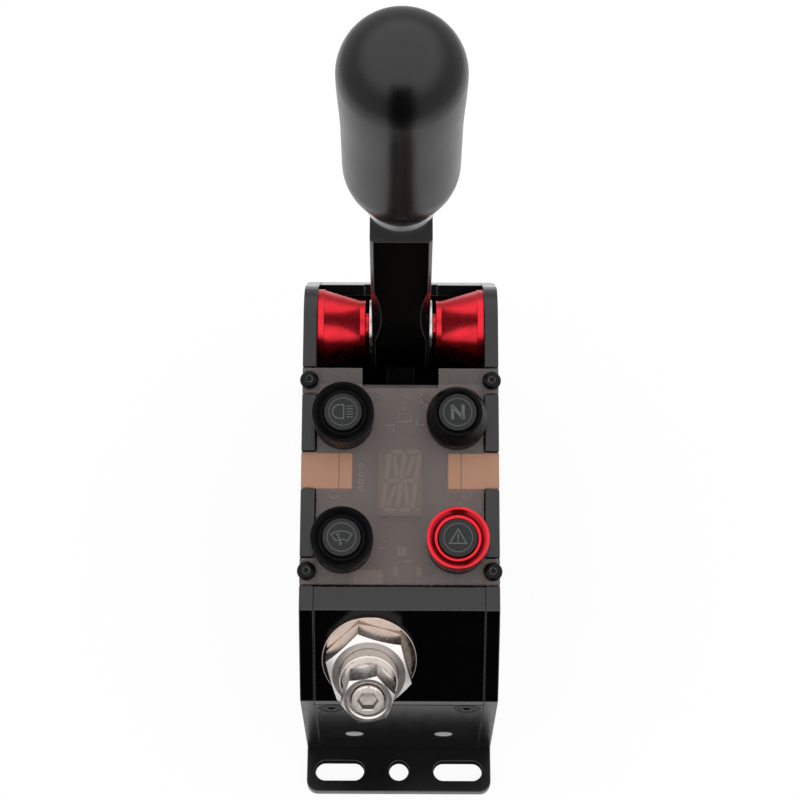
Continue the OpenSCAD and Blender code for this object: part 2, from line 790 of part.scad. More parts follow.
// Cap with its retaining flange and the stem that works the switch
module button_cap() {
    flange_top = bezel_base_h - 0.3;
    stem_end = board_w + switch_h - well_depth + button_travel + 0.2;
    rotate_extrude() polygon([
        [0, stem_end], [stem_d / 2, stem_end], [stem_d / 2, flange_top - cap_flange_t],
        [cap_d / 2 + cap_flange, flange_top - cap_flange_t], [cap_d / 2 + cap_flange, flange_top],
        [cap_d / 2, flange_top], [cap_d / 2, rim_h - 0.5], [cap_d / 2 - 0.5, rim_h], [0, rim_h]
    ]);
}

module headlight_button() { color(satin_black) on_panel(-button_x, rear_button_u, 0) button_cap(); }

module neutral_button() { color(satin_black) on_panel(button_x, rear_button_u, 0) button_cap(); }

module wiper_button() { color(satin_black) on_panel(-button_x, front_button_u, 0) button_cap(); }

module hazard_button() { color(satin_black) on_panel(button_x, front_button_u, 0) button_cap(); }

module button_switches() {
    color(black) for (b = buttons) on_panel(b[0], b[1], board_w) difference() {
        translate([-switch_size / 2, -switch_size / 2, 0]) cube([switch_size, switch_size, switch_h]);
        translate([0, 0, switch_h - well_depth]) cylinder(d = stem_d + 2 * well_gap, h = well_depth + 1);
    }
}

// Lever bar with its hub and the tail that drives the push rod
module lever() {
    color(black) difference() {
        union() {
            lever_bar();
            translate([0, pivot_y, pivot_z]) rotate([0, 90, 0])
                cylinder(r = hub_r, h = lever_w, center = true);
            on_tail(0) translate([-tail_w / 2, -tail_t / 2, 0]) cube([tail_w, tail_t, tail_len]);
            on_tail(tail_len) rotate([0, 90, 0]) cylinder(r = tail_end_r, h = tail_w, center = true);
        }
        translate([0, pivot_y, pivot_z]) rotate([0, 90, 0]) {
            cylinder(d = shaft_d + 4, h = lever_w + 2, center = true);
            for (side = [-1, 1]) translate([0, 0, side * (lever_w / 2 + 1 - bearing_w / 2)])
                cylinder(d = bearing_d, h = bearing_w + 2, center = true);
        }
        translate([0, pivot_y, lever_top - stud_in_lever])
            cylinder(d = stud_d + 2 * screw_fit, h = stud_in_lever + 1);
        on_tail(tail_len) rotate([0, 90, 0]) cylinder(d = pin_d, h = tail_w + 2, center = true);
    }
}

module lever_bar() {
    c = lever_chamfer;
    w = lever_w / 2;
    d = lever_depth / 2;
    corners = [for (s = [[1, 1], [-1, 1], [-1, -1], [1, -1]]) [s[0] * w, s[1] * d]];
    translate([0, pivot_y, pivot_z]) difference() {
        linear_extrude(lever_h) polygon([
            [w, d - c], [w - c, d], [c - w, d], [-w, d - c], [-w, c - d], [c - w, -d], [w - c, -d], [w, c - d]
        ]);
        for (p = corners) {
            out = unit([sign(p[0]), sign(p[1])]);
            centre = p + out * (waist_r - waist_depth);
            translate([centre[0], centre[1], waist_h]) rotate([90, 0, atan2(out[1], out[0])])
                cylinder(r = waist_r, h = 30, center = true, $fn = 128);
        }
    }
}

// Steel ring between the lever and the knob
module knob_collar() {
    color(steel) translate([0, pivot_y, lever_top]) ring(collar_d, stud_d + 2 * screw_fit, collar_h);
}

module knob_stud() {
    color(steel) translate([0, pivot_y, lever_top - stud_in_lever])
        cylinder(d = stud_d, h = stud_in_lever + collar_h + stud_in_knob);
}

// Long round knob: rounded foot, slightly tapered grip and domed top
module knob() {
    color(satin_black) translate([0, pivot_y, knob_z]) difference() {
        rotate_extrude($fn = 96) union() {
            intersection() {
                square([knob_d, knob_foot_h]);
                translate([knob_grip_d / 2 - knob_foot_r, knob_foot_h]) circle(knob_foot_r);
            }
            polygon([
                [0, knob_foot_h], [knob_grip_d / 2, knob_foot_h], [knob_grip_d / 2, knob_grip_h],
                [knob_d / 2, knob_waist_h], [0, knob_waist_h]
            ]);
            intersection() {
                translate([0, knob_waist_h]) square(knob_d);
                translate([0, knob_waist_h]) circle(d = knob_d);
            }
        }
        translate([0, 0, -1]) cylinder(d = stud_d + 2 * screw_fit, h = stud_in_knob + 1 + screw_fit);
    }
}

module pivot_shaft() {
    end = in_x + shaft_seat;
    color(steel) translate([0, pivot_y, pivot_z]) rotate([0, 90, 0]) difference() {
        cylinder(d = shaft_d, h = 2 * end, center = true);
        for (side = [-1, 1]) translate([0, 0, side * end])
            cylinder(d = m5[0] + 2 * screw_fit, h = 2 * screw_grip, center = true);
    }
}

module pivot_screws() {
    color(steel) for (side = [-1, 1]) translate([side * body_w / 2, pivot_y, pivot_z])
        rotate([0, side * 90, 0]) flat_screw(m5, plate_t - shaft_seat + screw_grip - 1);
}

// Red cone that holds the lever in the middle of the shaft
module bearing_cone(side) {
    bore = shaft_d / 2 + run_fit;
    color(anodised_red) translate([0, pivot_y, pivot_z]) rotate([0, side * 90, 0]) rotate_extrude() polygon([
        [bore, nose_x], [cone_nose_d / 2, nose_x], [cone_nose_d / 2, cone_end_x], [cone_end_d / 2, cone_end_x],
        [cone_end_d / 2, cone_x], [cone_flange_d / 2 - 0.4, in_x - cone_flange_t],
        [cone_flange_d / 2, in_x - cone_flange_t], [cone_flange_d / 2, in_x], [bore, in_x]
    ]);
}

module bearing_cone_left() { bearing_cone(-1); }

module bearing_cone_right() { bearing_cone(1); }

module pivot_bearing(side) {
    inner = lever_w / 2 - bearing_w;
    color(steel) translate([0, pivot_y, pivot_z]) rotate([0, side * 90, 0]) rotate_extrude() polygon([
        [shaft_d / 2 + run_fit, inner], [bearing_d / 2, inner], [bearing_d / 2, lever_w / 2],
        [bearing_flange_d / 2, lever_w / 2], [bearing_flange_d / 2, flange_x], [shaft_d / 2 + run_fit, flange_x]
    ]);
}

module pivot_bearing_left() { pivot_bearing(-1); }

module pivot_bearing_right() { pivot_bearing(1); }

// Pin across the end of the tail, towards the push rod
module drive_pin() {
    color(steel) on_tail(tail_len) translate([-adjuster_x - roller_w / 2 - 1, 0, 0]) rotate([0, 90, 0])
        cylinder(d = pin_d, h = adjuster_x + roller_w / 2 + 1 + tail_w / 2);
}

module drive_roller() {
    color(steel) on_tail(tail_len) translate([-adjuster_x - roller_w / 2, 0, 0]) rotate([0, 90, 0])
        ring(roller_d, pin_d, min(roller_w, adjuster_x + roller_w / 2 - tail_w / 2 - 0.5));
}

module adjuster_washer() { color(nickel) on_adjuster(0) ring(washer_d, sleeve_d + 2 * screw_fit, washer_t); }

module adjuster_lock_nut() {
    bore = sleeve_d + 2 * run_fit;
    color(nickel) on_adjuster(washer_t) difference() {
        rotate(nut_turn) nut_shape(nut_af, nut_h, nut_af * 0.95);
        translate([0, 0, -1]) cylinder(d = bore, h = nut_h + 2);
        translate([0, 0, nut_h - 0.5]) cylinder(d1 = bore, d2 = bore + 2, h = 1);
    }
}

// Threaded sleeve that holds the centring springs
module adjuster_sleeve() {
    color(nickel) on_adjuster(-sleeve_in) difference() {
        union() {
            cylinder(d = sleeve_d, h = sleeve_in + sleeve_out - 1);
            translate([0, 0, sleeve_in + sleeve_out - 1]) cylinder(d1 = sleeve_d, d2 = sleeve_d - 2, h = 1);
        }
        translate([0, 0, -1]) cylinder(d = sleeve_bore, h = sleeve_in + sleeve_out - plug_depth + 1);
        cylinder(d = plug_d + 2 * run_fit, h = sleeve_in + sleeve_out + 1);
    }
}

// Ring that closes the inner end of the sleeve and guides the push rod
module sleeve_gland() {
    color(brass) on_adjuster(-sleeve_in) ring(sleeve_bore, rod_d + 2 * run_fit, gland_h);
}

// Preload screw with the hexagon that the driver turns
module preload_screw() {
    color(nickel) on_adjuster(sleeve_out) difference() {
        union() {
            translate([0, 0, hex_foot_h]) rotate(hex_turn)
                nut_shape(hex_af, hex_h - hex_foot_h, hex_af - 0.1);
            cylinder(d = hex_foot_d, h = hex_foot_h + 1);
            translate([0, 0, -plug_depth]) cylinder(d = plug_d, h = plug_depth + 1);
        }
        translate([0, 0, -plug_depth - 1]) cylinder(d = stop_d + 2 * screw_fit, h = plug_depth + hex_h);
        translate([0, 0, hex_h + stop_proud - stop_head_h]) cylinder(d = stop_well_d, h = stop_head_h);
        translate([0, 0, hex_h - stop_well_edge])
            cylinder(d1 = stop_well_d, d2 = stop_well_d + 5 * stop_well_edge, h = 2 * stop_well_edge);
    }
}

// Cap screw in the middle of the adjuster
module stop_screw() {
    color(steel) on_adjuster(sleeve_out + hex_h + stop_proud) difference() {
        union() {
            translate([0, 0, -stop_head_h]) cylinder(d = stop_head_d, h = stop_head_h - 0.6);
            translate([0, 0, -0.6]) cylinder(d1 = stop_head_d, d2 = stop_head_d - 1.2, h = 0.6);
            translate([0, 0, -stop_head_h - stop_reach_in]) cylinder(d = stop_d, h = stop_reach_in + 1);
        }
        socket(stop_d * 1.5, 4);
    }
}

// Push rod with the piston between the springs and the yoke around the roller
module push_rod() {
    yoke_top = -pin_depth + yoke_len / 2;
    color(steel) difference() {
        union() {
            on_adjuster(piston_l - piston_t / 2) cylinder(d = sleeve_bore - 2 * spring_gap, h = piston_t);
            on_adjuster(yoke_top - 1) cylinder(d = rod_d, h = piston_l - yoke_top + 1);
            on_adjuster(-pin_depth) cube([yoke_w, yoke_window + 2 * yoke_wall, yoke_len], center = true);
        }
        on_adjuster(-pin_depth) cube([yoke_w + 2, yoke_window, yoke_slot], center = true);
    }
}

module centring_spring(from, to) {
    color(steel) on_adjuster(from + spring_gap)
        coil(spring_d, wire_d, spring_turns, to - from - 2 * spring_gap);
}

module upper_spring() { centring_spring(piston_l + piston_t / 2, sleeve_out - plug_depth); }

module lower_spring() { centring_spring(gland_h - sleeve_in, piston_l - piston_t / 2); }

module stop_bars() {
    color(steel) difference() {
        for (side = [-1, 1]) translate([0, bar_yz(side)[0], bar_yz(side)[1]]) rotate([0, 90, 0])
            cylinder(d = bar_d, h = inside_w, center = true);
        side_screw_places() flat_screw_hole(m4, plate_t + screw_grip);
    }
}

// Rubber sleeves on the stop bars, where the tail comes to rest
module bumpers() {
    color(rubber) for (side = [-1, 1]) translate([-bumper_len / 2, bar_yz(side)[0], bar_yz(side)[1]])
        rotate([0, 90, 0]) ring(bumper_d, bar_d + 2 * run_fit, bumper_len);
}

module sensor_magnet() {
    color(nickel) translate([tail_w / 2, magnet_y, magnet_z]) rotate([0, 90, 0])
        cylinder(d = magnet_d, h = magnet_t);
}

module bracket_places() {
    for (y = [-1, 1]) translate([sensor_x + sensor_t + bracket_foot * 0.6, magnet_y + y * sensor_size / 4,
                                 base_t + bracket_t]) children();
}

// Angle bracket on the base plate that carries the sensor board
module sensor_bracket() {
    color(steel) difference() {
        translate([sensor_x + sensor_t, magnet_y - sensor_size / 2, base_t]) {
            cube([bracket_t, sensor_size, magnet_z + sensor_size / 2 - base_t]);
            cube([bracket_foot, sensor_size, bracket_t]);
        }
        bracket_places() screw_hole(m3, bracket_t);
    }
}

module bracket_screws() { color(steel) bracket_places() dome_screw(m3, bracket_t + base_t - 1); }

module sensor_board() {
    color(board_green) translate([sensor_x, magnet_y - sensor_size / 2, magnet_z - sensor_size / 2])
        cube([sensor_t, sensor_size, sensor_size]);
}

base_plate();
side_plate_left();
side_plate_right();
front_plate();
front_cover();
front_tie();
rear_plate();
rear_cover();
usb_socket();
top_cover();
control_board();
board_rails();
gear_display();
light_guide_left();
light_guide_right();
bezel_bases();
bezel_nuts();
headlight_ring();
neutral_ring();
wiper_ring();
hazard_ring();
button_switches();
headlight_button();
neutral_button();
wiper_button();
hazard_button();
top_cover_screws();
front_plate_screws();
side_screws();
base_screws();
board_screws();
cover_screws();
lever();
knob();
knob_collar();
knob_stud();
pivot_shaft();
pivot_screws();
bearing_cone_left();
bearing_cone_right();
pivot_bearing_left();
pivot_bearing_right();
drive_pin();
drive_roller();
adjuster_washer();
adjuster_lock_nut();
adjuster_sleeve();
sleeve_gland();
preload_screw();
stop_screw();
push_rod();
upper_spring();
lower_spring();
stop_bars();
bumpers();
sensor_magnet();
sensor_bracket();
sensor_board();
bracket_screws();
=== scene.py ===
import json
import math

import bmesh
import bpy
from mathutils import Matrix, Vector


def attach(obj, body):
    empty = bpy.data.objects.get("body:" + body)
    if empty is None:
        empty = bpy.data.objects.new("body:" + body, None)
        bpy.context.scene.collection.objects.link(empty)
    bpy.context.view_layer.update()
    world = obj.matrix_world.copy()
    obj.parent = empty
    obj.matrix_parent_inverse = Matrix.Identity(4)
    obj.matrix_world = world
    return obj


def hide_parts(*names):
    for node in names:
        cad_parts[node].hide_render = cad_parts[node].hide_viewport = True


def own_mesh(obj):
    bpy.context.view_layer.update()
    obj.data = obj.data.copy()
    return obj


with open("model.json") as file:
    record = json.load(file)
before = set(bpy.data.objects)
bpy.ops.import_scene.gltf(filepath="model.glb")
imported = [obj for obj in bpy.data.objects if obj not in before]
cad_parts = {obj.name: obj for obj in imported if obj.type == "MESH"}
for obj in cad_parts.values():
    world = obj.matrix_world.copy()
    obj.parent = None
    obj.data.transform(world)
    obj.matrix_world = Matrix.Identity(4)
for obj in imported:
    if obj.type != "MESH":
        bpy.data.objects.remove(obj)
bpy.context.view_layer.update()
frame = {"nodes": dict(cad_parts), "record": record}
nodes = frame["nodes"]
record = frame["record"]
scene = bpy.context.scene
mm = 0.001
still = Matrix.Identity(4)
bodyOf = {n: body for body, names in record["behaviour"]["bodies"].items() for n in names}
print("frame loaded:", len(nodes), "nodes")

# places that the pieces are built on, in mm and degrees
layout = {
    "panelY": -66.5, "panelZ": 116.0, "slope": 10.0,  # front edge of the control panel
    "adjuster": (-12.6, -82.398, 100.102), "adjusterTilt": 45.0,
    "pivotY": 62.2, "pivotZ": 119.908,
}


def placed(x, y, z, tilt=0.0):
    return Matrix.Translation(Vector((x, y, z)) * mm) @ Matrix.Rotation(math.radians(tilt), 4, "X")


panelFrame = placed(0, layout["panelY"], layout["panelZ"], layout["slope"])
adjusterFrame = placed(*layout["adjuster"], layout["adjusterTilt"])
pivotFrame = placed(0, layout["pivotY"], layout["pivotZ"]) @ Matrix.Rotation(math.radians(90), 4, "Y")
knobFrame = placed(0, layout["pivotY"], 0)


def onPanel(x, u):
    return panelFrame @ Matrix.Translation(Vector((x, u, 0)) * mm)


# camera where the photographer stood
cameraSet = {"x": -0.00018, "y": -0.32634, "z": 0.91138, "tilt": 24.09, "roll": 0.253, "lens": 90.0, "sensor": 36.0}
cameraData = bpy.data.cameras.new("camera")
cameraData.lens = cameraSet["lens"]
cameraData.sensor_width = cameraSet["sensor"]
camera = bpy.data.objects.new("camera", cameraData)
scene.collection.objects.link(camera)
camera.matrix_world = (
    Matrix.Translation((cameraSet["x"], cameraSet["y"], cameraSet["z"]))
    @ Matrix.Rotation(math.radians(cameraSet["tilt"]), 4, "X")
    @ Matrix.Rotation(math.radians(cameraSet["roll"]), 4, "Z")
)
scene.camera = camera
scene.view_settings.view_transform = "Standard"

# a white tent, brighter overhead, with a dark card on the driver's side; angles in degrees
tentSet = {"horizon": 0.5, "zenith": 1.4, "rise": (5.0, 35.0),
           "dark": 0.006, "cardSide": (14.0, 28.0), "cardTop": (30.0, 42.0)}
# the floor's glow for mirrors holds a painted shadow under the base plate and a painted dark card in front
floorSet = {"radius": 0.55, "sides": 96, "drop": 0.0003, "colour": (0.86, 0.86, 0.86, 1), "glow": 0.93,
            "mirrored": 0.85, "card": (0.14, 0.19), "under": (0.042, 0.117), "paintedShadowEdge": 0.003}


def ramp(tree, value, start, end, low=0.0, high=1.0, kind="SMOOTHSTEP"):
    step = tree.nodes.new("ShaderNodeMapRange")
    step.interpolation_type = kind
    for socket, number in zip(("From Min", "From Max", "To Min", "To Max"), (start, end, low, high)):
        step.inputs[socket].default_value = number
    tree.links.new(value, step.inputs["Value"])
    return step.outputs["Result"]


def math2(tree, operation, a, b=None):
    node = tree.nodes.new("ShaderNodeMath")
    node.operation = operation
    tree.links.new(a, node.inputs[0])
    if b is not None:
        tree.links.new(b, node.inputs[1])
    return node.outputs[0]


def besideCard(tree, x, y):  # 0 straight ahead of the object, 1 beside the dark card
    towards = tree.nodes.new("ShaderNodeMath")
    towards.operation = "MULTIPLY"
    towards.inputs[1].default_value = -1.0
    tree.links.new(y, towards.inputs[0])
    turn = math2(tree, "ABSOLUTE", math2(tree, "ARCTAN2", x, towards.outputs[0]))
    return ramp(tree, turn, *(math.radians(a) for a in tentSet["cardSide"]))


def makeTent():
    t = tentSet
    world = bpy.data.worlds.new("tent")
    scene.world = world
    world.use_nodes = True
    tree = world.node_tree
    back = tree.nodes["Background"]
    axes = tree.nodes.new("ShaderNodeSeparateXYZ")
    tree.links.new(tree.nodes.new("ShaderNodeTexCoord").outputs["Generated"], axes.inputs["Vector"])
    x, y, z = (axes.outputs[k] for k in "XYZ")
    sky = ramp(tree, z, *(math.sin(math.radians(a)) for a in t["rise"]), t["horizon"], t["zenith"])
    beside = besideCard(tree, x, y)
    above = ramp(tree, z, *(math.sin(math.radians(a)) for a in t["cardTop"]))
    card = tree.nodes.new("ShaderNodeMix")
    card.inputs["A"].default_value = t["dark"]
    tree.links.new(math2(tree, "MAXIMUM", beside, above), card.inputs["Factor"])
    tree.links.new(sky, card.inputs["B"])
    seen = tree.nodes.new("ShaderNodeMix")
    tree.links.new(tree.nodes.new("ShaderNodeLightPath").outputs["Is Camera Ray"], seen.inputs["Factor"])
    tree.links.new(card.outputs["Result"], seen.inputs["A"])
    seen.inputs["B"].default_value = 1.0
    tree.links.new(seen.outputs["Result"], back.inputs["Strength"])
    back.inputs["Color"].default_value = (1, 1, 1, 1)


def makeFloor():
    mesh = bpy.data.meshes.new("floor")
    turns = [2 * math.pi * i / floorSet["sides"] for i in range(floorSet["sides"])]
    rim = [(floorSet["radius"] * math.cos(a), floorSet["radius"] * math.sin(a), 0) for a in turns]
    mesh.from_pydata(rim, [], [tuple(range(len(rim)))])
    floor = bpy.data.objects.new("floor", mesh)
    floor.location.z = -floorSet["drop"]
    scene.collection.objects.link(floor)
    mat = bpy.data.materials.new("floorWhite")
    mat.use_nodes = True
    tree = mat.node_tree
    tree.nodes.remove(tree.nodes["Principled BSDF"])
    plain = tree.nodes.new("ShaderNodeBsdfDiffuse")
    plain.inputs["Color"].default_value = floorSet["colour"]
    glow = tree.nodes.new("ShaderNodeEmission")
    axes = tree.nodes.new("ShaderNodeSeparateXYZ")
    tree.links.new(tree.nodes.new("ShaderNodeTexCoord").outputs["Object"], axes.inputs["Vector"])
    x, y = axes.outputs["X"], axes.outputs["Y"]
    wide, long = floorSet["under"]
    edge = floorSet["paintedShadowEdge"]
    under = math2(tree, "MAXIMUM", ramp(tree, math2(tree, "ABSOLUTE", x), wide - edge, wide),
                  ramp(tree, math2(tree, "ABSOLUTE", y), long - edge, long))  # painted shadow: mirrors see the floor dark under the base plate
    # painted reflection: in mirrors the floor is dark in front, in line with the dark card
    near, far = floorSet["card"]
    front = math2(tree, "MAXIMUM", besideCard(tree, x, y), ramp(tree, y, -far, -near))
    lit = ramp(tree, math2(tree, "MULTIPLY", under, front), 0.0, 1.0, 0.0, floorSet["mirrored"])
    path = tree.nodes.new("ShaderNodeLightPath")
    seen = path.outputs["Is Camera Ray"]
    strength = tree.nodes.new("ShaderNodeMix")  # white to the camera; in mirrors a painted shadow under the base plate and a painted dark card in front
    tree.links.new(seen, strength.inputs["Factor"])
    tree.links.new(lit, strength.inputs["A"])
    strength.inputs["B"].default_value = 1.0
    tree.links.new(strength.outputs["Result"], glow.inputs["Strength"])
    for name in ("Is Glossy Ray", "Is Transmission Ray"):
        seen = math2(tree, "MAXIMUM", seen, path.outputs[name])
    share = ramp(tree, seen, 0.0, 1.0, 0.0, floorSet["glow"])
    both = tree.nodes.new("ShaderNodeMixShader")
    tree.links.new(share, both.inputs["Fac"])
    tree.links.new(plain.outputs["BSDF"], both.inputs[1])
    tree.links.new(glow.outputs["Emission"], both.inputs[2])
    tree.links.new(both.outputs["Shader"], tree.nodes["Material Output"].inputs["Surface"])
    mesh.materials.append(mat)


makeTent()
makeFloor()
print("camera, tent and floor made")

# colour and roughness wander in patches; grain is a fine relief; turned adds tool rings around local Z
finishSet = {
    "plateBlack": {"colour": (0.0045, 0.0045, 0.0048), "vary": 0.3, "rough": 0.25, "roughVary": 0.04,
                   "patch": 90, "grain": 5200, "relief": 3e-6},
    # lighter bevels: partly wear, partly painted highlight
    "plateEdge": {"colour": (0.016, 0.016, 0.017), "vary": 0.4, "rough": 0.28, "roughVary": 0.08,
                  "patch": 700, "grain": 6000, "relief": 3e-6},
    "slopeBlack": {"colour": (0.004, 0.004, 0.0042), "vary": 0.3, "rough": 0.12, "roughVary": 0.03, "specular": 1.0,
                   "patch": 90, "grain": 5200, "relief": 1e-6},
    "frontBlack": {"colour": (0.003, 0.003, 0.0032), "vary": 0.3, "rough": 0.22, "roughVary": 0.03, "specular": 0.5,
                   "patch": 90, "grain": 5200, "relief": 1e-6},
    "coverBlack": {"colour": (0.003, 0.003, 0.0032), "vary": 0.3, "rough": 0.16, "roughVary": 0.03,
                   "patch": 70, "grain": 4800, "relief": 1e-6},
    "baseBlack": {"colour": (0.001, 0.001, 0.0011), "vary": 0.3, "rough": 0.22, "roughVary": 0.04, "specular": 0.2,
                  "patch": 90, "grain": 5200, "relief": 1e-6},
    "coverGloss": {"colour": (0.001, 0.001, 0.0011), "vary": 0.3, "rough": 0.14, "roughVary": 0.03, "specular": 0.25,
                   "patch": 70, "grain": 4800, "relief": 1e-6},
    "leverBlack": {"colour": (0.003, 0.003, 0.0032), "vary": 0.3, "rough": 0.20, "roughVary": 0.04,
                   "patch": 120, "grain": 4200, "relief": 2e-6},
    # painted shade: a darker, reflection-free copy of the lever's black for end faces
    "leverFacePaintedShade": {"colour": (0.0006, 0.0006, 0.0006), "vary": 0.3, "rough": 0.22, "roughVary": 0.04, "specular": 0.03,
                  "patch": 120, "grain": 4200, "relief": 2e-6},
    # painted light: a lighter copy of the lever's black for its top face
    "leverTopPaintedLight": {"colour": (0.028, 0.028, 0.0285), "vary": 0.15, "rough": 0.35, "roughVary": 0.04,
                 "patch": 120, "grain": 4200, "relief": 2e-6},
    # lighter bevels: partly wear, partly painted highlight
    "leverEdge": {"colour": (0.02, 0.02, 0.021), "vary": 0.4, "rough": 0.30, "roughVary": 0.06,
                  "patch": 900, "grain": 5200, "relief": 3e-6},
    "knobSatin": {"colour": (0.002, 0.002, 0.0021), "vary": 0.15, "rough": 0.26, "roughVary": 0.02,
                  "patch": 60, "grain": 7000, "relief": 1.5e-6},
    "turnedBlack": {"colour": (0.003, 0.003, 0.0033), "vary": 0.25, "rough": 0.28, "roughVary": 0.05, "specular": 0.05,
                    "patch": 160, "grain": 5000, "relief": 1e-6, "turned": 5200, "ringRelief": 2e-6},
    "turnedRed": {"colour": (0.679, 0.0252, 0.0384), "vary": 0.1, "rough": 0.27, "roughVary": 0.04, "metal": 1.0,
                  "patch": 150, "grain": 5000, "relief": 4e-7, "turned": 4200, "ringRelief": 1e-6},
    "turnedNickel": {"colour": (0.58, 0.48, 0.415), "vary": 0.05, "rough": 0.16, "roughVary": 0.05, "metal": 1.0,
                     "patch": 260, "grain": 3600, "relief": 2e-6, "turned": 3600, "ringRelief": 3e-6},
    "sleeveNickel": {"colour": (0.68, 0.63, 0.595), "vary": 0.05, "rough": 0.18, "roughVary": 0.05, "metal": 1.0,
                     "patch": 260, "grain": 3600, "relief": 2e-6, "turned": 3600, "ringRelief": 3e-6},
    "nutNickel": {"colour": (0.74, 0.705, 0.68), "vary": 0.06, "rough": 0.25, "roughVary": 0.05, "metal": 1.0,
                  "patch": 220, "grain": 1500, "relief": 3e-6},
    "nutFace": {"colour": (0.50, 0.47, 0.45), "vary": 0.06, "rough": 0.40, "roughVary": 0.05, "metal": 1.0,
                "patch": 260, "grain": 3600, "relief": 2e-6, "turned": 3600, "ringRelief": 3e-6},
    "plugFace": {"colour": (0.84, 0.78, 0.72), "vary": 0.06, "rough": 0.55, "roughVary": 0.05, "metal": 1.0,
                 "patch": 260, "grain": 3600, "relief": 2e-6, "turned": 3600, "ringRelief": 3e-6},
    # painted shade: the darker walls inside the stop screw's socket
    "socketPaintedShade": {"colour": (0.13, 0.11, 0.085), "vary": 0.1, "rough": 0.4, "roughVary": 0.05, "metal": 1.0,
                   "patch": 500, "grain": 3600, "relief": 2e-6},
    "brightSteel": {"colour": (0.62, 0.62, 0.61), "vary": 0.06, "rough": 0.24, "roughVary": 0.06, "metal": 1.0,
                    "patch": 200, "grain": 3000, "relief": 3e-6, "turned": 5000, "ringRelief": 3e-6},
    # painted highlight: light grey for the lit walls of the front plate's lower holes
    "boreWallPaintedLight": {"colour": (0.60, 0.60, 0.592), "vary": 0.06, "rough": 0.45, "roughVary": 0.06,
                 "patch": 200, "grain": 3000, "relief": 3e-6},
    "blackOxide": {"colour": (0.004, 0.004, 0.0045), "vary": 0.3, "rough": 0.30, "roughVary": 0.06, "specular": 0.14,
                   "patch": 500, "grain": 4000, "relief": 2e-6},
    # painted highlight: a lighter ring at the socket's mouth
    "screwRimPaintedHighlight": {"colour": (0.11, 0.11, 0.112), "vary": 0.3, "rough": 0.3, "roughVary": 0.06,
                  "patch": 900, "grain": 4000, "relief": 2e-6},
    "collarSteel": {"colour": (0.88, 0.87, 0.86), "vary": 0.05, "rough": 0.5, "roughVary": 0.05, "metal": 1.0,
                    "patch": 200, "grain": 3000, "relief": 2e-6, "turned": 5000, "ringRelief": 2e-6},
    "capBlack": {"colour": (0.0095, 0.0098, 0.01), "vary": 0.1, "rough": 0.45, "roughVary": 0.05, "specular": 0.3,
                 "patch": 140, "grain": 6500, "relief": 4e-6},
    "markGrey": {"colour": (0.085, 0.087, 0.09), "vary": 0.12, "rough": 0.55, "roughVary": 0.05, "specular": 0.3,
                 "patch": 900, "grain": 6000, "relief": 3e-6},
    "guideTan": {"colour": (0.43, 0.185, 0.055), "vary": 0.03, "rough": 0.45, "roughVary": 0.05,
                 "patch": 120, "grain": 2500, "relief": 2e-6},
    "boardBrown": {"colour": (0.05, 0.036, 0.032), "vary": 0.04, "rough": 0.5, "roughVary": 0.03,
                   "patch": 60, "grain": 2600, "relief": 1e-6},
    "boardGreen": {"colour": (0.02, 0.09, 0.04), "vary": 0.15, "rough": 0.4, "roughVary": 0.05,
                   "patch": 180, "grain": 2600, "relief": 5e-6},
    "displayFace": {"colour": (0.036, 0.024, 0.015), "vary": 0.04, "rough": 0.4, "roughVary": 0.03,
                    "patch": 80, "grain": 3000, "relief": 1e-6},
    "segmentTan": {"colour": (0.105, 0.07, 0.044), "vary": 0.05, "rough": 0.5, "roughVary": 0.05,
                   "patch": 500, "grain": 4000, "relief": 2e-6},
    "silkPale": {"colour": (0.22, 0.18, 0.15), "vary": 0.15, "rough": 0.6, "roughVary": 0.05,
                 "patch": 900, "grain": 5000, "relief": 2e-6},
    "partBrown": {"colour": (0.115, 0.085, 0.064), "vary": 0.2, "rough": 0.5, "roughVary": 0.05,
                  "patch": 900, "grain": 5000, "relief": 2e-6},
    "moulded": {"colour": (0.022, 0.022, 0.022), "vary": 0.15, "rough": 0.5, "roughVary": 0.06,
                "patch": 300, "grain": 5200, "relief": 8e-6},
    "rubberBlack": {"colour": (0.018, 0.018, 0.018), "vary": 0.2, "rough": 0.75, "roughVary": 0.08,
                    "patch": 300, "grain": 3500, "relief": 1.2e-5},
    "brassBare": {"colour": (0.72, 0.50, 0.20), "vary": 0.08, "rough": 0.28, "roughVary": 0.06, "metal": 1.0,
                  "patch": 300, "grain": 3500, "relief": 4e-6, "turned": 4500, "ringRelief": 4e-6},
}
noiseSet = {"span": (0.3, 0.7), "patchDetail": 5.0, "dullScale": 2.3, "dullDetail": 4.0, "grainDetail": 2.0,
            "ringDetail": 1.0}
acrylicSet = {"colour": (0.72, 0.645, 0.62), "rough": 0.0, "ior": 1.49, "clear": 0.91, "mirror": 0.0,
              "scratch": 240, "scratchDetail": 6.0, "relief": 4e-7}
finishes = {}


def noise(tree, vector, scale, detail):
    cloud = tree.nodes.new("ShaderNodeTexNoise")
    cloud.inputs["Scale"].default_value = scale
    cloud.inputs["Detail"].default_value = detail
    tree.links.new(vector, cloud.inputs["Vector"])
    return cloud.outputs["Fac"]


def bump(tree, height, distance, under=None):
    relief = tree.nodes.new("ShaderNodeBump")
    relief.inputs["Distance"].default_value = distance
    tree.links.new(height, relief.inputs["Height"])
    if under is not None:
        tree.links.new(under, relief.inputs["Normal"])
    return relief.outputs["Normal"]


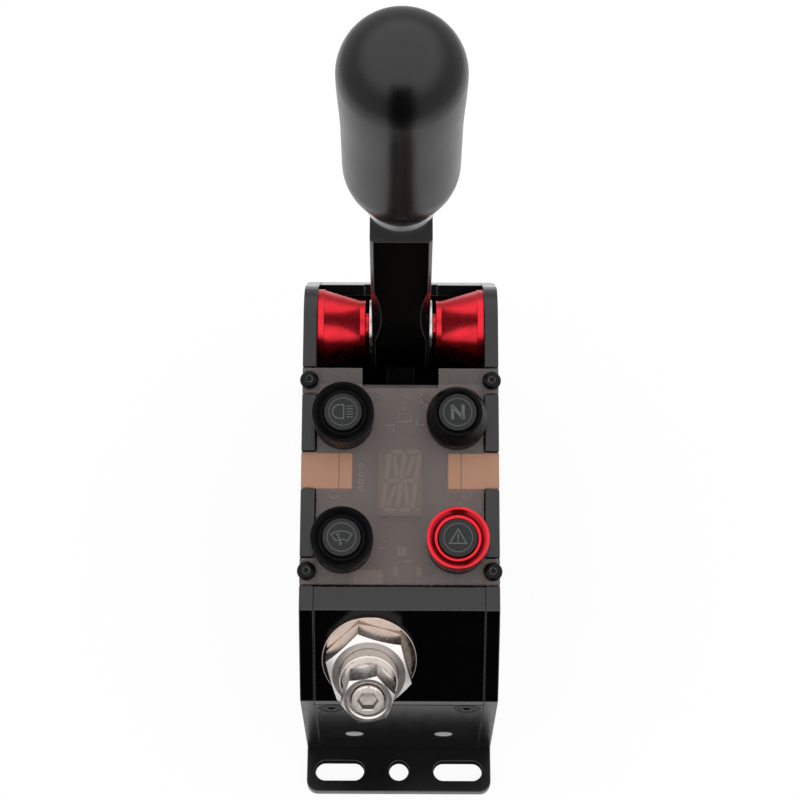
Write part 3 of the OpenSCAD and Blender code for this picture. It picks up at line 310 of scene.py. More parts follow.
def finish(name):
    if name in finishes:
        return finishes[name]
    look, n = finishSet[name], noiseSet
    mat = bpy.data.materials.new(name)
    mat.use_nodes = True
    tree = mat.node_tree
    shader = tree.nodes["Principled BSDF"]
    shader.inputs["Metallic"].default_value = look.get("metal", 0.0)
    shader.inputs["Specular IOR Level"].default_value = look.get("specular", 0.5)
    where = tree.nodes.new("ShaderNodeTexCoord").outputs["Object"]
    patch = noise(tree, where, look["patch"], n["patchDetail"])
    tone = tree.nodes.new("ShaderNodeMix")
    tone.data_type = "RGBA"
    tree.links.new(ramp(tree, patch, *n["span"], kind="LINEAR"), tone.inputs["Factor"])
    for socket, scale in ((6, 1 - look["vary"]), (7, 1 + look["vary"])):  # the mix's two colours
        tone.inputs[socket].default_value = [min(1, c * scale) for c in look["colour"]] + [1]
    tree.links.new(tone.outputs[2], shader.inputs["Base Color"])
    dull = noise(tree, where, look["patch"] * n["dullScale"], n["dullDetail"])
    least, most = look["rough"] - look["roughVary"], look["rough"] + look["roughVary"]
    tree.links.new(ramp(tree, dull, *n["span"], least, most, "LINEAR"), shader.inputs["Roughness"])
    normal = bump(tree, noise(tree, where, look["grain"], n["grainDetail"]), look["relief"])
    if "turned" in look:  # height and radius drive the rings
        parts = tree.nodes.new("ShaderNodeSeparateXYZ")
        tree.links.new(where, parts.inputs["Vector"])
        flat = tree.nodes.new("ShaderNodeCombineXYZ")
        tree.links.new(parts.outputs["X"], flat.inputs["X"])
        tree.links.new(parts.outputs["Y"], flat.inputs["Y"])
        radius = tree.nodes.new("ShaderNodeVectorMath")
        radius.operation = "LENGTH"
        tree.links.new(flat.outputs["Vector"], radius.inputs[0])
        rings = tree.nodes.new("ShaderNodeCombineXYZ")
        tree.links.new(radius.outputs["Value"], rings.inputs["X"])
        tree.links.new(parts.outputs["Z"], rings.inputs["Y"])
        height = noise(tree, rings.outputs["Vector"], look["turned"], n["ringDetail"])
        normal = bump(tree, height, look["ringRelief"], normal)
    tree.links.new(normal, shader.inputs["Normal"])
    finishes[name] = mat
    return mat


def makeAcrylic():
    a = acrylicSet
    mat = bpy.data.materials.new("smokedAcrylic")
    mat.use_nodes = True
    tree = mat.node_tree
    shader = tree.nodes["Principled BSDF"]
    shader.inputs["Base Color"].default_value = (*a["colour"], 1)
    shader.inputs["Roughness"].default_value = a["rough"]
    shader.inputs["IOR"].default_value = a["ior"]
    shader.inputs["Transmission Weight"].default_value = a["clear"]
    shader.inputs["Specular Tint"].default_value = (*[a["mirror"]] * 3, 1)
    where = tree.nodes.new("ShaderNodeTexCoord").outputs["Object"]
    scratch = noise(tree, where, a["scratch"], a["scratchDetail"])
    tree.links.new(bump(tree, scratch, a["relief"]), shader.inputs["Normal"])
    path = tree.nodes.new("ShaderNodeLightPath")
    lit = math2(tree, "MAXIMUM", path.outputs["Is Shadow Ray"], path.outputs["Is Diffuse Ray"])
    shade = ramp(tree, lit, 0.0, 1.0, 1.0, 0.0)  # light passes, so the board is lit evenly
    tree.links.new(shade, shader.inputs["Alpha"])
    finishes["smokedAcrylic"] = mat


makeAcrylic()

# how meshes are cleaned, rounded and shaded; angles in degrees
meshSet = {"weld": 2e-6, "level": 0.3, "sharp": 32.0, "turnedSharp": 26.0, "woundSharp": 60.0, "bevels": 2,
           "cornerShare": 0.48, "cornerSteps": 4, "middle": 1e-6, "mitre": 0.4}
stepSet = {"round": 128, "hexagon": 144, "knob": 160, "screw": 96}


def shown(name, mesh, body, mats, where):
    thing = bpy.data.objects.new(name, mesh)
    scene.collection.objects.link(thing)
    for m in mats:
        mesh.materials.append(finish(m))
    thing.matrix_world = where
    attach(thing, body)
    return thing


def soften(thing, width, edgeMat=None, weighed=False):
    edge = thing.modifiers.new("edges", "BEVEL")
    edge.width = width * mm
    edge.segments = meshSet["bevels"]
    edge.limit_method = "WEIGHT" if weighed else "ANGLE"
    edge.angle_limit = math.radians(meshSet["sharp"])
    edge.use_clamp_overlap = False
    edge.harden_normals = True
    edge.miter_outer = "MITER_ARC"
    if edgeMat is not None:
        edge.material = edgeMat


def smoothed(bm, mesh, angle=meshSet["sharp"]):
    for face in bm.faces:
        face.smooth = True
    for e in bm.edges:
        e.smooth = len(e.link_faces) == 2 and e.calc_face_angle(0.0) < math.radians(angle)
    bm.to_mesh(mesh)
    bm.free()
    return mesh


def weighOutline(bm, least):  # holes smaller than this keep sharp edges
    weight = bm.edges.layers.float.get("bevel_weight_edge") or bm.edges.layers.float.new("bevel_weight_edge")
    limit = math.radians(meshSet["sharp"])
    sharp = {e for e in bm.edges if len(e.link_faces) == 2 and e.calc_face_angle(0.0) > limit}
    while sharp:
        group, queue = [], [sharp.pop()]
        while queue:
            e = queue.pop()
            group.append(e)
            near = {n for v in e.verts for n in v.link_edges} & sharp
            sharp -= near
            queue.extend(near)
        points = [v.co for e in group for v in e.verts]
        size = max(max(q[i] for q in points) - min(q[i] for q in points) for i in range(3))
        for e in group:
            e[weight] = 1.0 if size > least * mm else 0.0


def dress(node, mats, bevel, where=still, edge=None, pick=None, shrink=0.0, least=0.0):
    mesh = nodes[node].data.copy()
    mesh.name = node + "Dressed"
    mesh.materials.clear()
    if "custom_normal" in mesh.attributes:
        mesh.attributes.remove(mesh.attributes["custom_normal"])
    bm = bmesh.new()
    bm.from_mesh(mesh)
    bmesh.ops.remove_doubles(bm, verts=bm.verts, dist=meshSet["weld"])
    bmesh.ops.dissolve_limit(bm, angle_limit=math.radians(meshSet["level"]), verts=bm.verts, edges=bm.edges)
    bm.transform(where.inverted())
    if shrink:  # keeps a clear piece off the faces that it lies on
        bm.normal_update()
        for vert, inward in [(v, -v.normal * v.calc_shell_factor()) for v in bm.verts]:
            vert.co += inward * shrink * mm
    for face in bm.faces:
        face.material_index = pick(face) if pick else 0
    if least:
        weighOutline(bm, least)
    smoothed(bm, mesh)
    piece = shown(node + "_dressed", mesh, bodyOf[node], mats, where)
    soften(piece, bevel, edge, weighed=bool(least))
    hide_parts(node)


def rounded(points, closed=True):  # a third number rounds that corner of the profile
    out = []
    share, steps = meshSet["cornerShare"], meshSet["cornerSteps"]
    for i, point in enumerate(points):
        p = Vector(point[:2])
        if len(point) < 3 or (not closed and i in (0, len(points) - 1)):
            out.append(tuple(p))
            continue
        a, b = Vector(points[i - 1][:2]) - p, Vector(points[(i + 1) % len(points)][:2]) - p
        reach = min(point[2], share * a.length, share * b.length)
        start, end = p + a.normalized() * reach, p + b.normalized() * reach
        for k in range(steps + 1):
            t = k / steps
            out.append(tuple(start * (1 - t) ** 2 + p * 2 * t * (1 - t) + end * t ** 2))
    return out


def lathe(bm, shape, place, closed, steps, start):  # shape is a profile, or gives one for each angle
    columns, middle = [], {}
    for i in range(steps):
        a = math.radians(start) + 2 * math.pi * i / steps
        column = []
        for k, (r, h) in enumerate(shape(a) if callable(shape) else shape):
            if r < meshSet["middle"]:
                if k not in middle:
                    middle[k] = bm.verts.new(place @ Vector((0, 0, h * mm)))
                column.append(middle[k])
            else:
                column.append(bm.verts.new(place @ Vector((r * mm * math.cos(a), r * mm * math.sin(a), h * mm))))
        columns.append(column)
    spans = len(columns[0]) if closed else len(columns[0]) - 1
    for i in range(steps):
        a, b = columns[i], columns[(i + 1) % steps]
        for k in range(spans):
            n = (k + 1) % len(a)
            bm.faces.new(list(dict.fromkeys((a[k], b[k], b[n], a[n]))))


def hexReach(angle, across, turn):  # from the middle to the side of a hexagon with a corner at turn
    return across / 2 / math.cos((angle - math.radians(turn)) % (math.pi / 3) - math.pi / 6)


def turned(node, shape, mats, where, places=(still,), closed=True, steps=stepSet["round"], start=0.0, bands=None):
    bm = bmesh.new()
    for place in places:
        lathe(bm, shape, place, closed, steps, start)
    bmesh.ops.recalc_face_normals(bm, faces=bm.faces)
    spans = len(shape(0.0) if callable(shape) else shape) - (0 if closed else 1)
    for i, face in enumerate(bm.faces):
        face.material_index = (bands or {}).get(i % spans, 0)  # by the part of the profile
    mesh = smoothed(bm, bpy.data.meshes.new(node + "Turned"), meshSet["turnedSharp"])
    piece = shown(node + "_turned", mesh, bodyOf[node], mats, where)
    flats = piece.modifiers.new("flats", "WEIGHTED_NORMAL")  # keeps flat faces flat beside rounded edges
    flats.keep_sharp = True
    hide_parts(node)


def prism(bm, outline, low, high):
    base = [bm.verts.new((x * mm, y * mm, low * mm)) for x, y in outline]
    top = [bm.verts.new((x * mm, y * mm, high * mm)) for x, y in outline]
    bm.faces.new(base[::-1])
    bm.faces.new(top)
    for i in range(len(outline)):
        j = (i + 1) % len(outline)
        bm.faces.new((base[i], base[j], top[j], top[i]))


def block(bm, x, y, wide, long, low, high):
    a, b = wide / 2, long / 2
    prism(bm, [(x - a, y - b), (x + a, y - b), (x + a, y + b), (x - a, y + b)], low, high)


def stroke(bm, points, width, low, high, closed=False):  # a flat line with mitred corners
    count = len(points)
    pts = [Vector(p) for p in points]
    grid = []
    for i, p in enumerate(pts):
        before = pts[i - 1] if i or closed else None
        after = pts[(i + 1) % count] if i < count - 1 or closed else None
        a = (p - before).normalized() if before is not None else (after - p).normalized()
        b = (after - p).normalized() if after is not None else a
        n1, n2 = Vector((-a.y, a.x)), Vector((-b.y, b.x))
        side = (n1 + n2).normalized()
        side *= width / 2 / max(meshSet["mitre"], side.dot(n1))
        corners = ((p + side, low), (p + side, high), (p - side, high), (p - side, low))
        grid.append([bm.verts.new((q.x * mm, q.y * mm, h * mm)) for q, h in corners])
    for i in range(count if closed else count - 1):
        a, b = grid[i], grid[(i + 1) % count]
        for k in range(4):
            bm.faces.new((a[k], a[(k + 1) % 4], b[(k + 1) % 4], b[k]))
    if not closed:
        bm.faces.new(grid[0][::-1])
        bm.faces.new(grid[-1])


def arc(cx, cy, r, start, end, steps=24):
    turns = [math.radians(start + (end - start) * i / steps) for i in range(steps + 1)]
    return [(cx + r * math.cos(a), cy + r * math.sin(a)) for a in turns]


def ring(cx, cy, r, steps=24):
    return arc(cx, cy, r, 0, 360 - 360 / steps, steps - 1)


def fromBm(bm, name, angle=meshSet["sharp"]):
    bmesh.ops.recalc_face_normals(bm, faces=bm.faces)
    return smoothed(bm, bpy.data.meshes.new(name), angle)


# plates and covers, with lighter edges that are partly wear and partly painted highlight; facing says how far a face
# has to look along an axis
plateSet = {"edge": 0.45, "coverEdge": 0.5, "thinEdge": 0.3, "hole": 30.0, "boreX": 20.0, "boreZ": 31.0, "bore": 4.05}
facing = {"slopeBack": 0.5, "slopeUp": 0.25, "slant": 0.6, "endBack": 0.3, "endUp": 0.2, "wall": 0.3, "square": 0.95}


def slopeFace(face):  # what faces backwards and up
    return 2 if face.normal.y > facing["slopeBack"] and face.normal.z > facing["slopeUp"] else 0


def isGloss(face):  # the 45 degree face
    return face.normal.y < -facing["slant"] and face.normal.z > facing["slant"]


def sideFace(face):
    return 3 if isGloss(face) else slopeFace(face)


def rearFace(face):  # the end of the cover, and its notch for the lever, get painted shade: a darker black without reflections
    return 3 if face.normal.y < facing["endBack"] and face.normal.z > facing["endUp"] else slopeFace(face)


def coverFace(face):
    return 2 if isGloss(face) else 0


def boreFace(face):  # painted highlight: the walls of the two lower holes are light grey, standing in for lit walls
    c = face.calc_center_median()
    near = min(math.hypot(c.x - side * plateSet["boreX"] * mm, c.z - plateSet["boreZ"] * mm) for side in (-1, 1))
    return 2 if near < plateSet["bore"] * mm and abs(face.normal.y) < facing["wall"] else 0


dress("base_plate", ["baseBlack", "plateEdge"], plateSet["edge"], edge=1)
for node in ("side_plate_left", "side_plate_right"):
    dress(node, ["plateBlack", "plateEdge", "slopeBlack", "coverGloss"], plateSet["edge"], edge=1, pick=sideFace,
          least=plateSet["hole"])
dress("rear_plate", ["plateBlack", "plateEdge"], plateSet["thinEdge"], edge=1, least=plateSet["hole"])
dress("rear_cover", ["plateBlack", "plateEdge", "slopeBlack", "leverFacePaintedShade"], plateSet["thinEdge"], edge=1,
      pick=rearFace, least=plateSet["hole"])
dress("front_cover", ["coverBlack", "plateEdge", "coverGloss"], plateSet["coverEdge"], edge=1, pick=coverFace)
dress("front_plate", ["frontBlack", "plateEdge", "boreWallPaintedLight"], plateSet["thinEdge"], edge=1, pick=boreFace)
print("plates and covers dressed")

# smoked top cover, and the board under it
coverSet = {"edge": 0.2, "shrink": 0.04}
dress("top_cover", ["smokedAcrylic"], coverSet["edge"], shrink=coverSet["shrink"])
boardSet = {"top": -11.4, "edge": 0.15, "railEdge": 0.3, "partEdge": 0.08, "silk": 0.06, "line": 0.32, "ringLine": 0.4,
            "ringX": -16.7, "ringU": (63.7, 60.0, 56.7, 53.8), "ring": 0.85,
            "hookX": (-28.3, 28.6), "hookU": 51.4, "hook": 2.0, "hookTurn": (150, 390)}
boardParts = (  # x, u, width, length and height
    (2.7, 93.4, 1.6, 0.8, 0.6), (5.2, 93.0, 0.8, 1.6, 0.6), (9.2, 91.6, 1.2, 2.2, 0.9), (9.2, 95.0, 1.2, 1.2, 0.7),
    (-0.6, 86.7, 0.8, 1.6, 0.6), (1.6, 88.6, 2.4, 1.6, 0.8), (-3.1, 79.0, 1.2, 2.0, 0.8), (5.9, 79.0, 0.9, 1.9, 0.8),
    (-1.7, 17.6, 2.4, 4.2, 1.1), (8.2, 17.6, 2.4, 4.2, 1.1), (3.3, 22.2, 3.2, 1.2, 0.6), (0.8, 26.4, 4.4, 4.4, 0.9),
    (-13.4, 15.0, 12.6, 6.0, 2.4), (-6.6, 30.4, 1.6, 0.8, 0.5), (10.6, 30.0, 0.8, 1.6, 0.5),
)
boardLines = (
    [(-6.2, 81.6), (-2.4, 81.6)], [(8.2, 81.8), (10.5, 81.8)], [(-20.7, 11.8), (-20.7, 18.4)],
    [(-1.2, 83.2), (4.6, 83.2), (4.6, 85.4)], [(7.2, 84.0), (7.2, 80.6)], [(-9.0, 28.0), (-6.4, 28.0)],
    [(2.0, 90.6), (2.0, 92.2)], [(11.2, 89.4), (11.2, 92.4), (8.4, 92.4)],
)
dress("control_board", ["boardBrown"], boardSet["edge"])
dress("board_rails", ["plateBlack"], boardSet["railEdge"])


def makeBoardParts():
    s = boardSet
    low, high = s["top"], s["top"] + s["silk"]
    bm = bmesh.new()
    for x, u, wide, long, tall in boardParts:
        block(bm, x, u, wide, long, low, low + tall)
    parts = shown("board_parts", fromBm(bm, "boardParts"), "body", ["partBrown"], panelFrame)
    soften(parts, s["partEdge"])
    bm = bmesh.new()
    for u in s["ringU"]:
        stroke(bm, ring(s["ringX"], u, s["ring"]), s["ringLine"], low, high, True)
    for x in s["hookX"]:
        stroke(bm, arc(x, s["hookU"], s["hook"], *s["hookTurn"]), s["ringLine"], low, high)
    for line in boardLines:
        stroke(bm, line, s["line"], low, high)
    shown("board_marks", fromBm(bm, "boardMarks"), "body", ["silkPale"], panelFrame)


digitSet = {"x": 0.4, "u": 55.5, "width": 12.6, "height": 25.2, "slant": 7.2, "bar": 1.9, "gap": 0.45,
            "face": -3.4, "lift": 0.12, "caseEdge": 0.25, "inner": 1.4, "outer": 1.6,
            "slash": 0.62, "slashEnd": 2.2, "dot": 0.8, "dotGap": 2.4}


def makeDigit():
    s = digitSet
    half, tall, bar, gap = s["width"] / 2, s["height"] / 2, s["bar"], s["gap"]
    low, high = s["face"], s["face"] + s["lift"]
    lean = math.tan(math.radians(s["slant"]))
    bm = bmesh.new()

    def leaning(outline):
        prism(bm, [(s["x"] + x + y * lean, s["u"] + y) for x, y in outline], low, high)

    def level(x0, x1, y):
        b, x0, x1 = bar / 2, x0 + gap, x1 - gap
        leaning([(x0, y), (x0 + b, y - b), (x1 - b, y - b), (x1, y), (x1 - b, y + b), (x0 + b, y + b)])

    def upright(x, y0, y1):
        b, y0, y1 = bar / 2, y0 + gap, y1 - gap
        leaning([(x, y0), (x + b, y0 + b), (x + b, y1 - b), (x, y1), (x - b, y1 - b), (x - b, y0 + b)])

    def slash(x0, y0, x1, y1):
        d, h = bar * s["slash"], s["slashEnd"]
        if x1 > x0:
            leaning([(x0, y0), (x0 + d, y0), (x1, y1 - h), (x1, y1), (x1 - d, y1), (x0, y0 + h)])
        else:
            leaning([(x0 - d, y0), (x0, y0), (x0, y0 + h), (x1 + d, y1), (x1, y1), (x1, y1 - h)])

    for y in (-tall, 0, tall):
        level(-half, 0, y)
        level(0, half, y)
    for x in (-half, 0, half):
        upright(x, -tall, 0)
        upright(x, 0, tall)
    inner, outer = bar / 2 + gap * s["inner"], bar / 2 + gap * s["outer"]
    slash(-half + inner, -tall + outer, -inner, -outer)
    slash(half - inner, -tall + outer, inner, -outer)
    slash(inner, outer, half - inner, tall - outer)
    slash(-inner, outer, -half + inner, tall - outer)
    prism(bm, ring(s["x"] + half + s["dotGap"] - tall * lean, s["u"] - tall, s["dot"]), low, high)
    mesh = fromBm(bm, "displaySegments")
    shown("display_segments", mesh, "body", ["segmentTan"], panelFrame)


dress("gear_display", ["displayFace"], digitSet["caseEdge"])
makeBoardParts()
makeDigit()

guideSet = {"u": 51.905, "width": 15.34, "top": -3.0, "outer": 42.0, "joint": 25.9, "inner": 20.4, "slit": 0.25,
            "edge": 0.2}


def makeGuide(side, node):
    g = guideSet
    bm = bmesh.new()
    for x0, x1 in ((g["outer"], g["joint"] + g["slit"] / 2), (g["joint"] - g["slit"] / 2, g["inner"])):
        block(bm, side * (x0 + x1) / 2, g["u"] + g["width"] / 2, abs(x0 - x1), g["width"], boardSet["top"], g["top"])
    guide = shown(node + "_dressed", fromBm(bm, node), "body", ["guideTan"], panelFrame)
    soften(guide, g["edge"])
    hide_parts(node)


makeGuide(-1, "light_guide_left")
makeGuide(1, "light_guide_right")
print("top cover, board and display made")

# push buttons; heights are above the top cover
buttonSet = {"x": 24.0, "rear": 80.81, "front": 27.68, "capTop": 17.0, "circle": 5.9, "circleSteps": 120,
             "circleLine": 0.32, "lift": 0.06, "sink": 0.05}
buttons = {
    "headlight": (-buttonSet["x"], buttonSet["rear"]), "neutral": (buttonSet["x"], buttonSet["rear"]),
    "wiper": (-buttonSet["x"], buttonSet["front"]), "hazard": (buttonSet["x"], buttonSet["front"]),
}
buttonProfiles = {
    "base": [(3.9, -6.5), (6.5, -6.5), (6.5, 0), (12.2, 0, 0.2), (12.6, 0.4, 0.2), (12.6, 8, 0.15), (9.55, 8),
             (9.55, 3), (3.9, 3)],
    "dish": [(8.35, 8), (12.6, 8, 0.15), (13, 8.4, 0.2), (13, 17, 0.45), (12.0, 17, 0.35), (9.6, 15, 0.3),
             (8.35, 15, 0.25)],
    "cone": [(8.35, 8), (12.6, 8, 0.15), (13, 8.4, 0.2), (13, 9, 0.5), (10.3, 17, 0.5), (9.5, 17, 0.3),
             (8.35, 16.2, 0.2)],
    "cap": [(0, -8.3), (3.5, -8.3), (3.5, 6.2), (9.2, 6.2), (9.2, 7.7), (8, 7.7), (8, 17, 0.6), (0, 17)],
}
ringShape = {"neutral": "cone"}
ringFinish = {"hazard": "turnedRed"}
beams = ((2.3, 2.45), (1.15, 1.25), (0.0, 0.05), (-1.15, -1.1), (-2.3, -2.25))  # both ends of each
markLines = {  # points in mm from the middle of the cap, line width, closed
    "headlight": [
        ([(0.3, 2.95)] + arc(-1.45, 0, 2.95, 90, 270, 18) + [(0.3, -2.95)], 0.5, True),
        *(([(1.45, start), (4.3, end)], 0.38, False) for start, end in beams),
    ],
    "neutral": [([(-2.2, -3.2), (-2.2, 3.2)], 1.35, False), ([(2.2, -3.2), (2.2, 3.2)], 1.35, False),
                ([(-2.2, 2.6), (2.2, -2.6)], 1.3, False)],
    "wiper": [
        (arc(0, -4.9, 7.4, 126, 54, 14) + arc(0, -5.9, 4.9, 61, 119, 10), 0.4, True),
        ([(-1.5, 1.5), (-0.4, -2.5)], 0.5, False), ([(-2.3, 0.9), (-0.7, 1.6)], 0.45, False),
        (ring(-0.35, -2.75, 0.4, 12), 0.4, True),
    ],
    "hazard": [
        ([(-3.5, -2.4), (3.5, -2.4), (0, 3.5)], 0.5, True), ([(0, 1.6), (0, -0.5)], 0.6, False),
        ([(0, -1.0), (0, -1.6)], 0.6, False),
    ],
}


def makeMark(name, where):
    s = buttonSet
    low, high = s["capTop"] - s["sink"], s["capTop"] + s["lift"]
    bm = bmesh.new()
    for points, width, closed in markLines[name]:
        stroke(bm, points, width, low, high, closed)
    stroke(bm, ring(0, 0, s["circle"], s["circleSteps"]), s["circleLine"], low, high, True)
    mesh = fromBm(bm, name + "Mark")
    shown(name + "_mark", mesh, bodyOf[name + "_button"], ["markGrey"], where)


for name, (x, u) in buttons.items():
    turned(name + "_ring", rounded(buttonProfiles[ringShape.get(name, "dish")]),
           [ringFinish.get(name, "turnedBlack")], onPanel(x, u))
    turned(name + "_button", rounded(buttonProfiles["cap"], False), ["capBlack"], onPanel(x, u), closed=False)
    makeMark(name, onPanel(x, u))
turned("bezel_bases", rounded(buttonProfiles["base"]), ["turnedBlack"], panelFrame,
       [Matrix.Translation(Vector((x, u, 0)) * mm) for x, u in buttons.values()])
print("push buttons made")

# lever, knob and pivot
leverSet = {"edge": 0.3}
knobSet = {"foot": 239.208, "seat": 15.3, "seatRound": 0.4, "grip": 22.4, "footHeight": 16.9, "footRound": 6.0,
           "gripHeight": 48.0, "waist": 23.35, "waistHeight": 81.8, "bore": 6.1, "boreDepth": 35.0,
           "easeSteps": 16, "domeSteps": 36}


def leverSide(face):
    # painted shade: end faces get the darker, reflection-free copy
    if abs(face.normal.y) > facing["square"]:
        return 2
    # painted light: the top face gets the lighter copy
    return 3 if face.normal.z > facing["square"] else 0


def makeKnob():
    k = knobSet
    profile = rounded([(0, k["boreDepth"]), (k["bore"], k["boreDepth"]), (k["bore"], 0),
                       (k["seat"], 0, k["seatRound"]), (k["grip"], k["footHeight"], k["footRound"]),
                       (k["grip"], k["gripHeight"])], False)
    for i in range(1, k["easeSteps"] + 1):  # eases out to the widest place
        t = i / k["easeSteps"]
        profile.append((k["grip"] + (k["waist"] - k["grip"]) * t * t * (3 - 2 * t),
                        k["gripHeight"] + (k["waistHeight"] - k["gripHeight"]) * t))
    for i in range(1, k["domeSteps"]):
        a = math.pi / 2 * i / k["domeSteps"]
        profile.append((k["waist"] * math.cos(a), k["waistHeight"] + k["waist"] * math.sin(a)))
    profile.append((0, k["waistHeight"] + k["waist"]))
    turned("knob", profile, ["knobSatin"], knobFrame @ Matrix.Translation((0, 0, k["foot"] * mm)), closed=False,
           steps=stepSet["knob"])


dress("lever", ["leverBlack", "leverEdge", "leverFacePaintedShade", "leverTopPaintedLight"], leverSet["edge"], edge=1, pick=leverSide)
makeKnob()
pivotSet = {"shaftEdge": 0.12}
pivotProfiles = {  # along the shaft, from the middle of the lever outwards; the collar's heights are from the floor
    "collar": [(6.1, 233.708), (14.5, 233.708, 0.3), (14.5, 234.4, 0.4), (12.9, 239.208), (6.1, 239.208)],
    "cone": [(5.03, 13.8), (6.5, 13.8, 0.2), (6.5, 15.3), (12.1, 15.3, 0.3), (12.1, 17.7, 0.15), (16.5, 33.1, 0.1),
             (16.9, 33.1, 0.2), (16.9, 36, 0.2), (5.03, 36)],
    "bearing": [(5.03, 6.2), (11, 6.2, 0.3), (11, 12.2), (12.5, 12.2, 0.2), (12.5, 13.7, 0.25), (9.9, 13.7, 0.1),
                (9.7, 13.4), (7.4, 13.4), (7.2, 13.7, 0.1), (5.03, 13.7)],
}
turned("knob_collar", rounded(pivotProfiles["collar"]), ["collarSteel"], knobFrame)
for side, name in ((-1, "left"), (1, "right")):
    for kind, node, mat in (("cone", "bearing_cone_", "turnedRed"), ("bearing", "pivot_bearing_", "brightSteel")):
        turned(node + name, [(r, side * h) for r, h in rounded(pivotProfiles[kind])], [mat], pivotFrame)
dress("pivot_shaft", ["brightSteel"], pivotSet["shaftEdge"], pivotFrame)
print("lever, knob and pivot made")

# preload adjuster, along its axis from the 45 degree face
adjusterProfiles = {
    "adjuster_washer": [(12.1, 0), (20, 0, 0.3), (20, 2, 0.5), (12.1, 2, 0.3)],
    "adjuster_sleeve": [(9.5, -50.041), (12, -50.041, 0.4), (12, 20.6, 0.15), (11.6, 21, 0.2), (8.03, 21, 0.2),
                        (8.03, 7), (9.5, 7)],
}
adjusterFinish = {"adjuster_washer": "turnedNickel", "adjuster_sleeve": "sleeveNickel"}
nutSet = {"across": 32.0, "turn": 44.5, "low": 2.0, "high": 14.8, "face": 15.2, "bore": 12.03, "boreEdge": 0.5}
plugSet = {"across": 19.5, "turn": 11.4, "low": 24.0, "high": 36.0, "face": 9.7, "foot": 10.3, "footLow": 21.0,
           "footHigh": 25.0, "plug": 8.0, "plugLow": 7.0, "bore": 4.1, "well": 7.0, "wellLow": 29.0, "wellEdge": 8.5,
           "wellDrop": 1.2}
stopSet = {"across": 7.2, "floor": 32.2, "foot": 33.0, "rim": 36.65, "rimEdge": 0.35, "top": 37.0,
           "head": [(6.0, 37.0), (6.45, 36.8), (6.7, 36.4), (6.7, 29.0), (4.0, 29.0)], "shank": 4.0, "end": 11.0}
chamfer = math.tan(math.radians(30))  # on the corners of both hexagons


def nutProfile(angle):
    n = nutSet
    e = hexReach(angle, n["across"], n["turn"])
    drop = max(0.0, e - n["face"]) * chamfer
    return [(n["bore"], n["low"]), (n["face"], n["low"]), (e, n["low"] + drop), (e, n["high"] - drop),
            (n["face"], n["high"]), (n["bore"] + n["boreEdge"], n["high"]), (n["bore"], n["high"] - n["boreEdge"])]


def plugProfile(angle):
    p = plugSet
    e = hexReach(angle, p["across"], p["turn"])
    drop = (e - p["face"]) * chamfer
    under = p["low"] + (p["foot"] - p["face"]) * chamfer if e > p["foot"] else p["footHigh"]
    return [(p["bore"], p["plugLow"]), (p["plug"], p["plugLow"]), (p["plug"], p["footLow"]), (p["foot"], p["footLow"]),
            (p["foot"], under), (e, p["low"] + drop if e > p["foot"] else under), (e, p["high"] - drop),
            (p["face"], p["high"]), (p["wellEdge"], p["high"]), (p["well"], p["high"] - p["wellDrop"]),
            (p["well"], p["wellLow"]), (p["bore"], p["wellLow"])]


def socketScrew(s):  # the hexagon socket from its floor up, then the head, then the shank
    def profile(angle):
        e = hexReach(angle, s["across"], 0)
        return [(0, s["floor"]), (e, s["foot"]), (e, s["rim"]), (e + s["rimEdge"], s["top"]), *s["head"],
                (s["shank"], s["end"]), (0, s["end"])]
    return profile


for node, profile in adjusterProfiles.items():
    turned(node, rounded(profile), [adjusterFinish[node]], adjusterFrame)
turned("adjuster_lock_nut", nutProfile, ["nutNickel", "nutFace"], adjusterFrame, steps=stepSet["hexagon"],
       start=nutSet["turn"], bands={4: 1})
turned("preload_screw", plugProfile, ["nutNickel", "nutFace"], adjusterFrame, steps=stepSet["hexagon"],
       start=plugSet["turn"], bands={7: 1})
# painted shade on the socket walls (band 1)
turned("stop_screw", socketScrew(stopSet), ["sleeveNickel", "plugFace", "socketPaintedShade"], adjusterFrame, closed=False,
       steps=stepSet["hexagon"], bands={0: 1, 1: 2, 3: 1})
springSet = {"wire": 1.8, "across": 17.8, "turns": 6.0, "sides": 10, "steps": 28, "keep": 0.45}
springPlaces = {"upper_spring": (-17.2, 6.7, 7.0), "lower_spring": (-45.7, -21.8, -46.0)}  # low, high, fixed end


def makeSpring(node, low, high, anchor):
    s = springSet
    radius = (s["across"] - s["wire"]) / 2
    count = int(s["turns"] * s["steps"])
    rise = (high - low - s["wire"]) / s["turns"]
    bm = bmesh.new()
    rings = []
    for i in range(count + 1):
        a = 2 * math.pi * i / s["steps"]
        wire = []
        for k in range(s["sides"]):
            b = 2 * math.pi * k / s["sides"]
            q = radius + s["wire"] / 2 * math.cos(b)
            z = low + s["wire"] / 2 + rise * a / (2 * math.pi) + s["wire"] / 2 * math.sin(b)
            wire.append(bm.verts.new((q * mm * math.cos(a), q * mm * math.sin(a), z * mm)))
        rings.append(wire)
    for a, b in zip(rings, rings[1:]):
        for k in range(s["sides"]):
            j = (k + 1) % s["sides"]
            bm.faces.new((a[k], a[j], b[j], b[k]))
    bm.faces.new(rings[0][::-1])
    bm.faces.new(rings[-1])
    mesh = fromBm(bm, node, meshSet["woundSharp"])
    spring = shown(node + "_wound", mesh, "body", ["brightSteel"], adjusterFrame)
    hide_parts(node)
    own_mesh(spring)


for node, place in springPlaces.items():
    makeSpring(node, *place)
print("preload adjuster made")

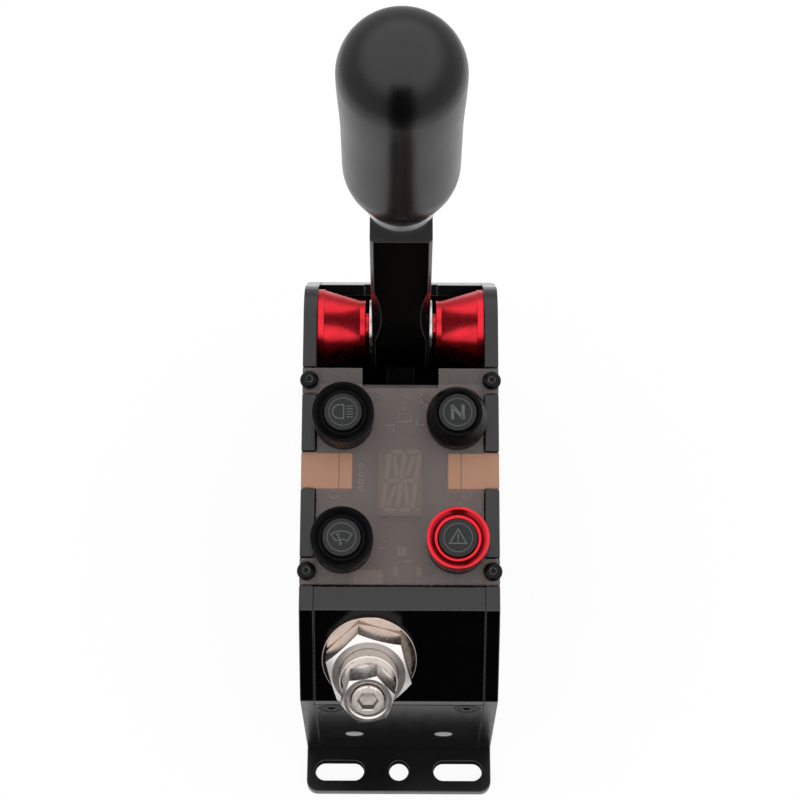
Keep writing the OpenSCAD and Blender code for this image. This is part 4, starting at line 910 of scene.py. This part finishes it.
# screws and inner pieces
screwSet = {"domeX": 39.0, "domeU": (16.25, 98.784), "domeTurn": 0.3, "flatX": 29.0, "flatY": -97.0, "flatZ": 73.5,
            "flatTilt": 90.0, "edge": 0.12, "innerEdge": 0.15}
domeSet = {"across": 2.4, "floor": 0.7, "foot": 0.88, "rim": 1.95, "rimEdge": 0.3, "top": 2.2,  # M4 button head
           "head": [(2.1, 2.2), (2.8, 2.02), (3.4, 1.6), (3.8, 1.0), (4.0, 0.35), (3.95, 0), (2, 0)],
           "shank": 2.0, "end": -11.0}
flatSet = {"across": 3.6, "floor": -2.7, "foot": -2.48, "rim": -0.2, "rimEdge": 0.2, "top": 0.0,  # M6 countersunk
           "head": [(5.25, 0), (5.45, -0.08), (5.55, -0.3), (3, -3.0)], "shank": 3.0, "end": -15.0}
domePlaces = [
    Matrix.Translation(Vector((side * screwSet["domeX"], u, 0)) * mm)
    @ Matrix.Rotation(screwSet["domeTurn"] * side + u, 4, "Z")  # no two sockets stand alike
    for side in (-1, 1) for u in screwSet["domeU"]
]
flatPlaces = [
    placed(side * screwSet["flatX"], screwSet["flatY"], screwSet["flatZ"], screwSet["flatTilt"]) for side in (-1, 1)
]
for node, shape, where, places in (("top_cover_screws", domeSet, panelFrame, domePlaces),
                                   ("front_plate_screws", flatSet, still, flatPlaces)):
    # the socket's mouth (band 2) gets a painted highlight
    turned(node, socketScrew(shape), ["blackOxide", "screwRimPaintedHighlight"], where, places, closed=False,
           steps=stepSet["screw"], bands={2: 1})
for node in ("side_screws", "base_screws", "cover_screws", "pivot_screws"):
    dress(node, ["blackOxide"], screwSet["edge"])
innerFinish = {
    "front_tie": "plateBlack", "usb_socket": "nutNickel", "bezel_nuts": "brassBare", "button_switches": "moulded",
    "board_screws": "boardBrown", "knob_stud": "brightSteel", "drive_pin": "brightSteel", "drive_roller": "brightSteel",
    "sleeve_gland": "brassBare", "push_rod": "brightSteel", "stop_bars": "brightSteel", "bumpers": "rubberBlack",
    "sensor_magnet": "nutNickel", "sensor_bracket": "brightSteel", "sensor_board": "boardGreen",
    "bracket_screws": "brightSteel",
}
for node, mat in innerFinish.items():
    dress(node, [mat], screwSet["innerEdge"])
print("screws and inner pieces dressed")
